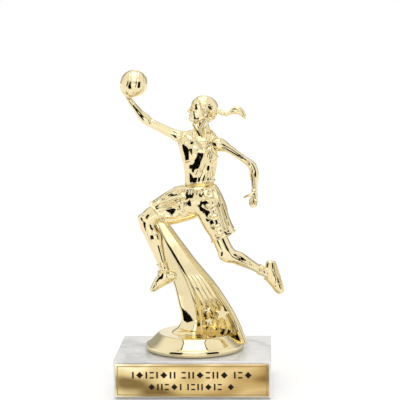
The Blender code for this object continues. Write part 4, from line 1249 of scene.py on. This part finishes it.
def plate_material():
    mat = bpy.data.materials.new("brushed_brass_painted_sheen")
    nt, sh = nodes_of(mat)
    c = coords(nt)
    sh.inputs["Metallic"].default_value = 1.0
    fine = noise(nt, stretched(nt, c, (6.0, 40.0, 900.0)), 8.0, 3.0)
    sep = nt.nodes.new("ShaderNodeSeparateXYZ")
    link(nt, c, sep.inputs[0])
    # Painted reflection: the base colour fades from pale yellow at the left end of the plate to dark brown at the
    # right, a painted light-to-shade gradient.
    mr = nt.nodes.new("ShaderNodeMapRange")
    mr.inputs["From Min"].default_value, mr.inputs["From Max"].default_value = -0.037, 0.037
    link(nt, sep.outputs["X"], mr.inputs["Value"])
    painted_reflection_tone = ramp(nt, mr.outputs["Result"], [(0.0, (0.86, 0.74, 0.42)), (0.35, (0.80, 0.62, 0.30)), (0.7, (0.66, 0.47, 0.20)), (1.0, (0.55, 0.38, 0.15))])
    grain = ramp(nt, fine, [(0.3, (0.92,) * 3), (0.7, (1.0,) * 3)])
    # Painted sheen: streaky bands of painted highlight, brighter than white, and of painted dark reflection, multiplied
    # into the plate's base colour.
    painted_sheen = ramp(nt, noise(nt, stretched(nt, c, (34.0, 1.0, 70.0)), 1.0, 1.2), [
        (0.36, (0.30, 0.24, 0.16)), (0.44, (0.86, 0.82, 0.72)), (0.50, (1.06, 1.06, 1.05)), (0.56, (1.30, 1.38, 1.60)), (0.64, (0.95, 0.92, 0.86))])
    both = nt.nodes.new("ShaderNodeMix")
    both.data_type, both.blend_type = "RGBA", "MULTIPLY"
    both.inputs["Factor"].default_value = 1.0
    link(nt, painted_reflection_tone, both.inputs["A"])
    link(nt, painted_sheen, both.inputs["B"])
    painted_reflection_tone = both.outputs["Result"]
    mul = nt.nodes.new("ShaderNodeMix")
    mul.data_type, mul.blend_type = "RGBA", "MULTIPLY"
    mul.inputs["Factor"].default_value = 1.0
    link(nt, painted_reflection_tone, mul.inputs["A"])
    link(nt, grain, mul.inputs["B"])
    link(nt, mul.outputs["Result"], sh.inputs["Base Color"])
    link(nt, ramp(nt, fine, [(0.3, (0.20,) * 3), (0.7, (0.34,) * 3)]), sh.inputs["Roughness"])
    bump(nt, sh, fine, 0.05, 0.0001)
    return mat


def dark_material(name, colour, rough):
    mat = bpy.data.materials.new(name)
    nt, sh = nodes_of(mat)
    c = coords(nt)
    lo = tuple(0.8 * v for v in colour)
    link(nt, ramp(nt, noise(nt, c, 1500.0, 3.0), [(0.3, lo), (0.7, colour)]), sh.inputs["Base Color"])
    link(nt, ramp(nt, noise(nt, c, 700.0, 3.0), [(0.3, (rough * 0.8,) * 3), (0.7, (rough * 1.1,) * 3)]), sh.inputs["Roughness"])
    bump(nt, sh, noise(nt, c, 2600.0, 2.0), 0.12, 0.0001)
    return mat


def steel_material():
    mat = bpy.data.materials.new("bright_zinc")
    nt, sh = nodes_of(mat)
    c = coords(nt)
    sh.inputs["Metallic"].default_value = 1.0
    link(nt, ramp(nt, noise(nt, c, 700.0, 4.0), [(0.3, (0.52, 0.53, 0.55)), (0.7, (0.70, 0.70, 0.72))]), sh.inputs["Base Color"])
    link(nt, ramp(nt, noise(nt, c, 1200.0, 3.0), [(0.3, (0.22,) * 3), (0.7, (0.38,) * 3)]), sh.inputs["Roughness"])
    bump(nt, sh, noise(nt, stretched(nt, c, (1.0, 1.0, 6.0)), 900.0, 3.0), 0.1, 0.0001)
    return mat


marble, brass, zinc = marble_material(), plate_material(), steel_material()
engraved = dark_material("engraved_fill", (0.016, 0.011, 0.006), 0.6)
engraved.node_tree.nodes["Principled BSDF"].inputs["Specular IOR Level"].default_value = 0.12
border = gold_material("plate_border", (0.30, 0.21, 0.09), (0.40, 0.29, 0.13), (0.18, 0.3))
felt_mat = dark_material("grey_felt", (0.50, 0.50, 0.48), 0.95)
tape_mat = dark_material("foam_tape", (0.80, 0.80, 0.77), 0.7)


def finish(ob, mat, body, slot, *nodes):
    ob.data.materials.clear()
    ob.data.materials.append(mat)
    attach(ob, body)
    if nodes:
        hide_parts(*nodes)
    return ob


# ------------------------------------------------------------------ build the figure
def box_of(*prims, pad=1.6):
    lo = np.min([p.lo for p in prims], 0) - pad
    hi = np.max([p.hi for p in prims], 0) + pad
    return lo, hi


H = 0.30
finish(sculpt("jersey_torso", jersey, (-9.5, -9.6, 100.4), (15.5, 9.2, 130.5), H), gold, "figure", "gold_metallised", "jersey_torso")
finish(sculpt("shorts", shorts, (-26.0, -12.5, 70.0), (23.0, 11.0, 103.8), H), gold, "figure", "gold_metallised", "shorts")
finish(sculpt("basketball", ball, np.array(BALL_C) - 8, np.array(BALL_C) + 8, 0.22), gold_ball, "figure", "gold_metallised", "basketball")
finish(sculpt("right_arm", right_arm, *box_of(right_arm_tube, right_palm, *right_fingers), 0.22), gold, "figure", "gold_metallised", "right_arm")
finish(sculpt("left_arm", left_arm, *box_of(left_arm_tube, left_palm, left_thumb, *left_fingers), 0.22), gold, "figure", "gold_metallised", "left_arm")
finish(sculpt("right_leg", right_leg, *box_of(right_leg_tube), 0.28), gold, "figure", "gold_metallised", "right_leg")
finish(sculpt("left_leg", left_leg, *box_of(left_leg_tube), 0.28), gold, "figure", "gold_metallised", "left_leg")
finish(sculpt("right_shoe", right_shoe, *box_of(right_shoe.upper, right_shoe.sole, right_shoe.collar, right_shoe.tongue), 0.2), gold, "figure", "gold_metallised", "right_shoe")
finish(sculpt("left_shoe", left_shoe, *box_of(left_shoe.upper, left_shoe.sole, left_shoe.collar, left_shoe.tongue), 0.2), gold, "figure", "gold_metallised", "left_shoe")
finish(sculpt("head", head, (-5.5, -8.2, 119.2), (14.5, 8.2, 147.5), 0.16), gold, "figure", "gold_metallised", "head")
finish(sculpt("ponytail", ponytail, *box_of(tail_tube), 0.18), gold, "figure", "gold_metallised", "ponytail")
finish(riser_mesh(), gold, "figure", "gold_metallised", "comet_riser")
for n, s in enumerate(STARS):
    finish(star_mesh("riser_star_%d" % (n + 1), *s), gold, "figure", "gold_metallised")

foot_out = catmull([(23.7, 0.0), (24.15, 0.3), (24.45, 0.95), (24.5, 1.8), (24.3, 2.6), (23.8, 3.15), (23.15, 3.5)], 5)
foot = [(0.0, 26.0), (2.9, 26.0), (2.9, 23.4), (4.9, 23.4), (4.9, 19.3), (7.4, 19.3), (7.4, 25.7), (16.4, 25.7), (21.9, 21.4), (22.4, 19.3)]
foot += [(r, FOOT_Z0 + h) for r, h in foot_out]
foot += [(23.0, FOOT_Z0 + 3.62), (21.7, 24.0), (19.6, 26.02), (18.55, 26.95), (18.15, 27.22), (17.6, 27.38), (16.8, 27.42), (0.0, 27.42)]
finish(lathe("figure_pedestal", foot), gold, "figure", "gold_metallised", "figure_pedestal")

# ------------------------------------------------------------------ plate with border and marks
plate_lo, plate_hi = (np.array(v) * 1000 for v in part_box("nameplate"))


def rounded_slab(name, x0, x1, z0, z1, y_front, depth, radius, chamfer, mat_smooth=False, steps=5):
    """A slab facing -Y with rounded corners and a chamfered front edge."""
    V, rings = [], []
    for inset, y in ((0.0, y_front + depth), (0.0, y_front + chamfer), (chamfer, y_front)):
        ring_ids = []
        for cx, cz, a0 in ((x1, z1, 0), (x0, z1, 90), (x0, z0, 180), (x1, z0, 270)):
            sx, sz = (-1 if cx == x1 else 1), (-1 if cz == z1 else 1)
            for i in range(steps + 1):
                a = math.radians(a0 + 90 * i / steps)
                r = max(radius - inset, 0.02)
                ring_ids.append(len(V))
                V.append((cx + sx * radius + r * math.cos(a), y, cz + sz * radius + r * math.sin(a)))
        rings.append(ring_ids)
    T = []
    n = len(rings[0])
    for A, B in zip(rings[:-1], rings[1:]):
        for i in range(n):
            j = (i + 1) % n
            T += [(A[i], A[j], B[j]), (A[i], B[j], B[i])]
    for ring_ids, flip in ((rings[0], True), (rings[-1], False)):
        c = len(V)
        V.append(tuple(np.mean([V[i] for i in ring_ids], 0)))
        for i in range(n):
            t = (ring_ids[i], ring_ids[(i + 1) % n], c)
            T.append(t[::-1] if flip else t)
    return V, T


def joined(name, parts):
    V, T = [], []
    for v, t in parts:
        T += [tuple(i + len(V) for i in tri) for tri in t]
        V += list(v)
    return make_mesh(name, np.array(V) * 0.001, np.array(T), smooth=False)


px0, px1, pz0, pz1, pf = plate_lo[0], plate_hi[0], plate_lo[2], plate_hi[2], plate_lo[1]
finish(joined("nameplate", [rounded_slab("p", px0, px1, pz0, pz1, pf, 0.6, 0.35, 0.16)]), brass, "marble_stand", "plate_gold", "nameplate")
edge_w = 0.42
strips = [
    rounded_slab("b", px0 + 0.75, px1 - 0.75, pz1 - 0.75 - edge_w, pz1 - 0.75, pf - 0.05, 0.2, 0.08, 0.03),
    rounded_slab("b", px0 + 0.75, px1 - 0.75, pz0 + 0.75, pz0 + 0.75 + edge_w, pf - 0.05, 0.2, 0.08, 0.03),
    rounded_slab("b", px0 + 0.75, px0 + 0.75 + edge_w, pz0 + 0.75, pz1 - 0.75, pf - 0.05, 0.2, 0.08, 0.03),
    rounded_slab("b", px1 - 0.75 - edge_w, px1 - 0.75, pz0 + 0.75, pz1 - 0.75, pf - 0.05, 0.2, 0.08, 0.03),
]
finish(joined("nameplate_border", strips), border, "marble_stand", "plate_gold")


def mark_row(z, height, x0, x1, pattern):
    """Plain bars and lozenges in a row: an engraved ornament that spells nothing."""
    parts, x, k = [], x0, 0
    pitch = height * 0.86
    while x + pitch * 0.7 < x1:
        kind = pattern[k % len(pattern)]
        if kind == "I":
            w = height * 0.26
            parts.append(rounded_slab("m", x, x + w, z - height / 2, z + height / 2, pf - 0.04, 0.15, 0.12, 0.02))
            x += w + height * 0.34
        elif kind == "H":
            w = height * 0.62
            parts.append(rounded_slab("m", x, x + w, z + height * 0.27, z + height / 2, pf - 0.04, 0.15, 0.1, 0.02))
            parts.append(rounded_slab("m", x, x + w, z - height / 2, z - height * 0.27, pf - 0.04, 0.15, 0.1, 0.02))
            x += w + height * 0.34
        elif kind == "D":
            w = height * 0.36
            v, t = rounded_slab("m", -w, w, -w, w, pf - 0.04, 0.15, 0.08, 0.02)
            c, s = math.cos(math.pi / 4), math.sin(math.pi / 4)
            v = [(x + w * 1.42 + c * a - s * b, y, z + s * a + c * b) for a, y, b in v]
            parts.append((v, t))
            x += w * 2.84 + height * 0.34
        else:
            x += height * 0.55
        k += 1
    return parts


marks = mark_row(12.5, 3.3, -28.8, 29.4, "IDIHIDII HIIDHIID IHDI") + mark_row(6.7, 3.1, -21.0, 21.5, "DIIHDI IHIIDIH DI")
finish(joined("nameplate_marks", marks), engraved, "marble_stand", "plate_gold")

# ------------------------------------------------------------------ carried-over pieces
for node, mat in (("marble_base", marble), ("felt_sheet", felt_mat), ("nameplate_tape", tape_mat), ("hex_nut", zinc),
                  ("hex_bolt", zinc), ("lock_washer", zinc), ("flat_washer", zinc)):
    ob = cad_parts[node]
    ob.data.materials.clear()
    ob.data.materials.append(mat)

# ------------------------------------------------------------------ floor, light, camera
scene = bpy.context.scene
floor_mat = bpy.data.materials.new("pale_floor")
nt, sh = nodes_of(floor_mat)
sh.inputs["Base Color"].default_value = (0.955, 0.955, 0.955, 1)
sh.inputs["Roughness"].default_value = 0.8
sh.inputs["Emission Color"].default_value = (1, 1, 1, 1)
sh.inputs["Emission Strength"].default_value = 0.13
sh.inputs["Specular IOR Level"].default_value = 0.15
fv = [(-6, -6, 0), (6, -6, 0), (6, 6, 0), (-6, 6, 0)]
floor_mesh = bpy.data.meshes.new("floor")
floor_mesh.from_pydata(fv, [], [(0, 1, 2, 3)])
floor = bpy.data.objects.new("floor", floor_mesh)
scene.collection.objects.link(floor)
floor_mesh.materials.append(floor_mat)

black = bpy.data.materials.new("black_card")
nt, sh = nodes_of(black)
sh.inputs["Base Color"].default_value = (0.004, 0.0035, 0.003, 1)
sh.inputs["Roughness"].default_value = 1.0
sh.inputs["Specular IOR Level"].default_value = 0.0


def card(name, az0, az1, z0, z1, dist):
    """A dark studio card beside the camera that only the polished metal sees."""
    a0, a1 = math.radians(az0), math.radians(az1)
    v = [(dist * math.sin(a), -dist * math.cos(a), z) for a in (a0, a1) for z in (z0, z1)]
    me = bpy.data.meshes.new(name)
    me.from_pydata(v, [], [(0, 2, 3, 1)])
    ob = bpy.data.objects.new(name, me)
    scene.collection.objects.link(ob)
    me.materials.append(black)
    ob.visible_camera = False
    ob.visible_diffuse = False
    ob.visible_shadow = False
    ob.visible_transmission = False
    return ob


card("card_left", -56, -25, 0.0, 0.235, 0.27)
card("card_right", 29, 58, 0.0, 0.225, 0.27)
card("card_camera", 12, 19, 0.165, 0.215, 0.30)


def floor_card(name, az0, az1, r0, r1):
    a0, a1 = math.radians(az0), math.radians(az1)
    v = [(r * math.sin(a), -r * math.cos(a), 0.0008) for a in (a0, a1) for r in (r0, r1)]
    me = bpy.data.meshes.new(name)
    me.from_pydata(v, [], [(0, 1, 3, 2)])
    ob = bpy.data.objects.new(name, me)
    scene.collection.objects.link(ob)
    me.materials.append(black)
    for flag in ("visible_camera", "visible_diffuse", "visible_shadow", "visible_transmission"):
        setattr(ob, flag, False)
    return ob


floor_card("floor_card_left", -54, -27, 0.19, 0.268)
floor_card("floor_card_right", 31, 56, 0.20, 0.268)

glow = bpy.data.materials.new("softbox")
glow.use_nodes = True
gt = glow.node_tree
gt.nodes.clear()
go, ge = gt.nodes.new("ShaderNodeOutputMaterial"), gt.nodes.new("ShaderNodeEmission")
ge.inputs["Color"].default_value = (1.0, 0.99, 0.97, 1)
ge.inputs["Strength"].default_value = 2.2
gt.links.new(ge.outputs[0], go.inputs["Surface"])


def overhead(name, mat, x0, x1, y0, y1, z):
    me = bpy.data.meshes.new(name)
    me.from_pydata([(x0, y0, z), (x1, y0, z), (x1, y1, z), (x0, y1, z)], [], [(0, 1, 2, 3)])
    ob = bpy.data.objects.new(name, me)
    scene.collection.objects.link(ob)
    me.materials.append(mat)
    ob.visible_camera = ob.visible_diffuse = ob.visible_shadow = ob.visible_transmission = False


overhead("softbox_top", glow, -0.21, 0.19, -0.30, 0.26, 0.72)
panel = bpy.data.meshes.new("softbox_front")
panel.from_pydata([(-0.10, -0.44, 0.36), (0.13, -0.44, 0.36), (0.13, -0.38, 0.50), (-0.10, -0.38, 0.50)], [], [(0, 3, 2, 1)])
panel_ob = bpy.data.objects.new("softbox_front", panel)
scene.collection.objects.link(panel_ob)
panel.materials.append(glow)
for flag in ("visible_camera", "visible_diffuse", "visible_shadow", "visible_transmission"):
    setattr(panel_ob, flag, False)
overhead("softbox_frame_left", black, -0.235, -0.21, -0.30, 0.26, 0.72)
overhead("softbox_frame_right", black, 0.19, 0.212, -0.30, 0.26, 0.72)

world = bpy.data.worlds.new("light_tent")
scene.world = world
world.use_nodes = True
wt = world.node_tree
wt.nodes.clear()
out = wt.nodes.new("ShaderNodeOutputWorld")
tc = wt.nodes.new("ShaderNodeTexCoord")
sep = wt.nodes.new("ShaderNodeSeparateXYZ")
wt.links.new(tc.outputs["Generated"], sep.inputs[0])


def math_node(op, a, b=None, c=None):
    n = wt.nodes.new("ShaderNodeMath")
    n.operation = op
    for i, v in enumerate((a, b, c)):
        if v is None:
            continue
        if isinstance(v, (int, float)):
            n.inputs[i].default_value = v
        else:
            wt.links.new(v, n.inputs[i])
    return n.outputs[0]


def step(value, e0, e1):
    n = wt.nodes.new("ShaderNodeMapRange")
    n.interpolation_type = "SMOOTHSTEP"
    n.inputs["From Min"].default_value, n.inputs["From Max"].default_value = e0, e1
    wt.links.new(value, n.inputs["Value"])
    return n.outputs["Result"]


X, Y, Z = sep.outputs
azim = math_node("ARCTAN2", X, math_node("MULTIPLY", Y, -1.0))
away = math_node("ABSOLUTE", azim)
side_edge = math_node("MULTIPLY", step(away, 1.95, 2.3), math_node("SUBTRACT", 1.0, step(away, 2.85, 3.1)))
side_edge = math_node("MULTIPLY", side_edge, math_node("SUBTRACT", 1.0, step(Z, 0.45, 0.7)))
warm_front = math_node("SUBTRACT", 1.0, step(away, 0.5, 1.4))
light = math_node("SUBTRACT", 1.03, math_node("MULTIPLY", side_edge, 0.60))
light = math_node("SUBTRACT", light, math_node("MULTIPLY", warm_front, 0.04))
bg = wt.nodes.new("ShaderNodeBackground")
bg.inputs["Color"].default_value = (1.0, 0.99, 0.97, 1)
wt.links.new(light, bg.inputs["Strength"])
plain = wt.nodes.new("ShaderNodeBackground")
plain.inputs["Color"].default_value = (1, 1, 1, 1)
plain.inputs["Strength"].default_value = 1.0
lp = wt.nodes.new("ShaderNodeLightPath")
mixw = wt.nodes.new("ShaderNodeMixShader")
wt.links.new(lp.outputs["Is Camera Ray"], mixw.inputs[0])
wt.links.new(bg.outputs[0], mixw.inputs[1])
wt.links.new(plain.outputs[0], mixw.inputs[2])
wt.links.new(mixw.outputs[0], out.inputs["Surface"])


def area(name, location, target, size, energy, colour=(1, 1, 1)):
    ld = bpy.data.lights.new(name, "AREA")
    ld.shape, ld.size, ld.energy, ld.color = "DISK", size, energy, colour
    ob = bpy.data.objects.new(name, ld)
    ob.location = location
    ob.rotation_euler = (Vector(target) - Vector(location)).to_track_quat("-Z", "Y").to_euler()
    scene.collection.objects.link(ob)
    ob.visible_camera = False
    return ob


front = area("front_fill", (0.0, -1.1, 0.12), (0, 0, 0.05), 0.5, 2.6)
front.visible_glossy = False

scene.view_settings.view_transform = "Standard"
scene.view_settings.look = "None"
scene.view_settings.exposure = 0.0
scene.view_settings.gamma = 1.0

cam_data = bpy.data.cameras.new("camera")
cam_data.sensor_width, cam_data.lens = 36.0, 128.03
cam_data.clip_start, cam_data.clip_end = 0.01, 20.0
cam = bpy.data.objects.new("camera", cam_data)
scene.collection.objects.link(cam)
yaw, pitch, roll = -0.04783, 0.12035, -0.01139
fw = Vector((math.sin(yaw) * math.cos(pitch), math.cos(yaw) * math.cos(pitch), -math.sin(pitch)))
rt = Vector((math.cos(yaw), -math.sin(yaw), 0))
up = rt.cross(fw)
r2 = rt * math.cos(roll) + up * math.sin(roll)
u2 = -rt * math.sin(roll) + up * math.cos(roll)
m = Matrix((r2, u2, -fw)).transposed().to_4x4()
m.translation = Vector((0.03672044, -0.69599146, 0.17771644))
cam.matrix_world = m
scene.camera = cam
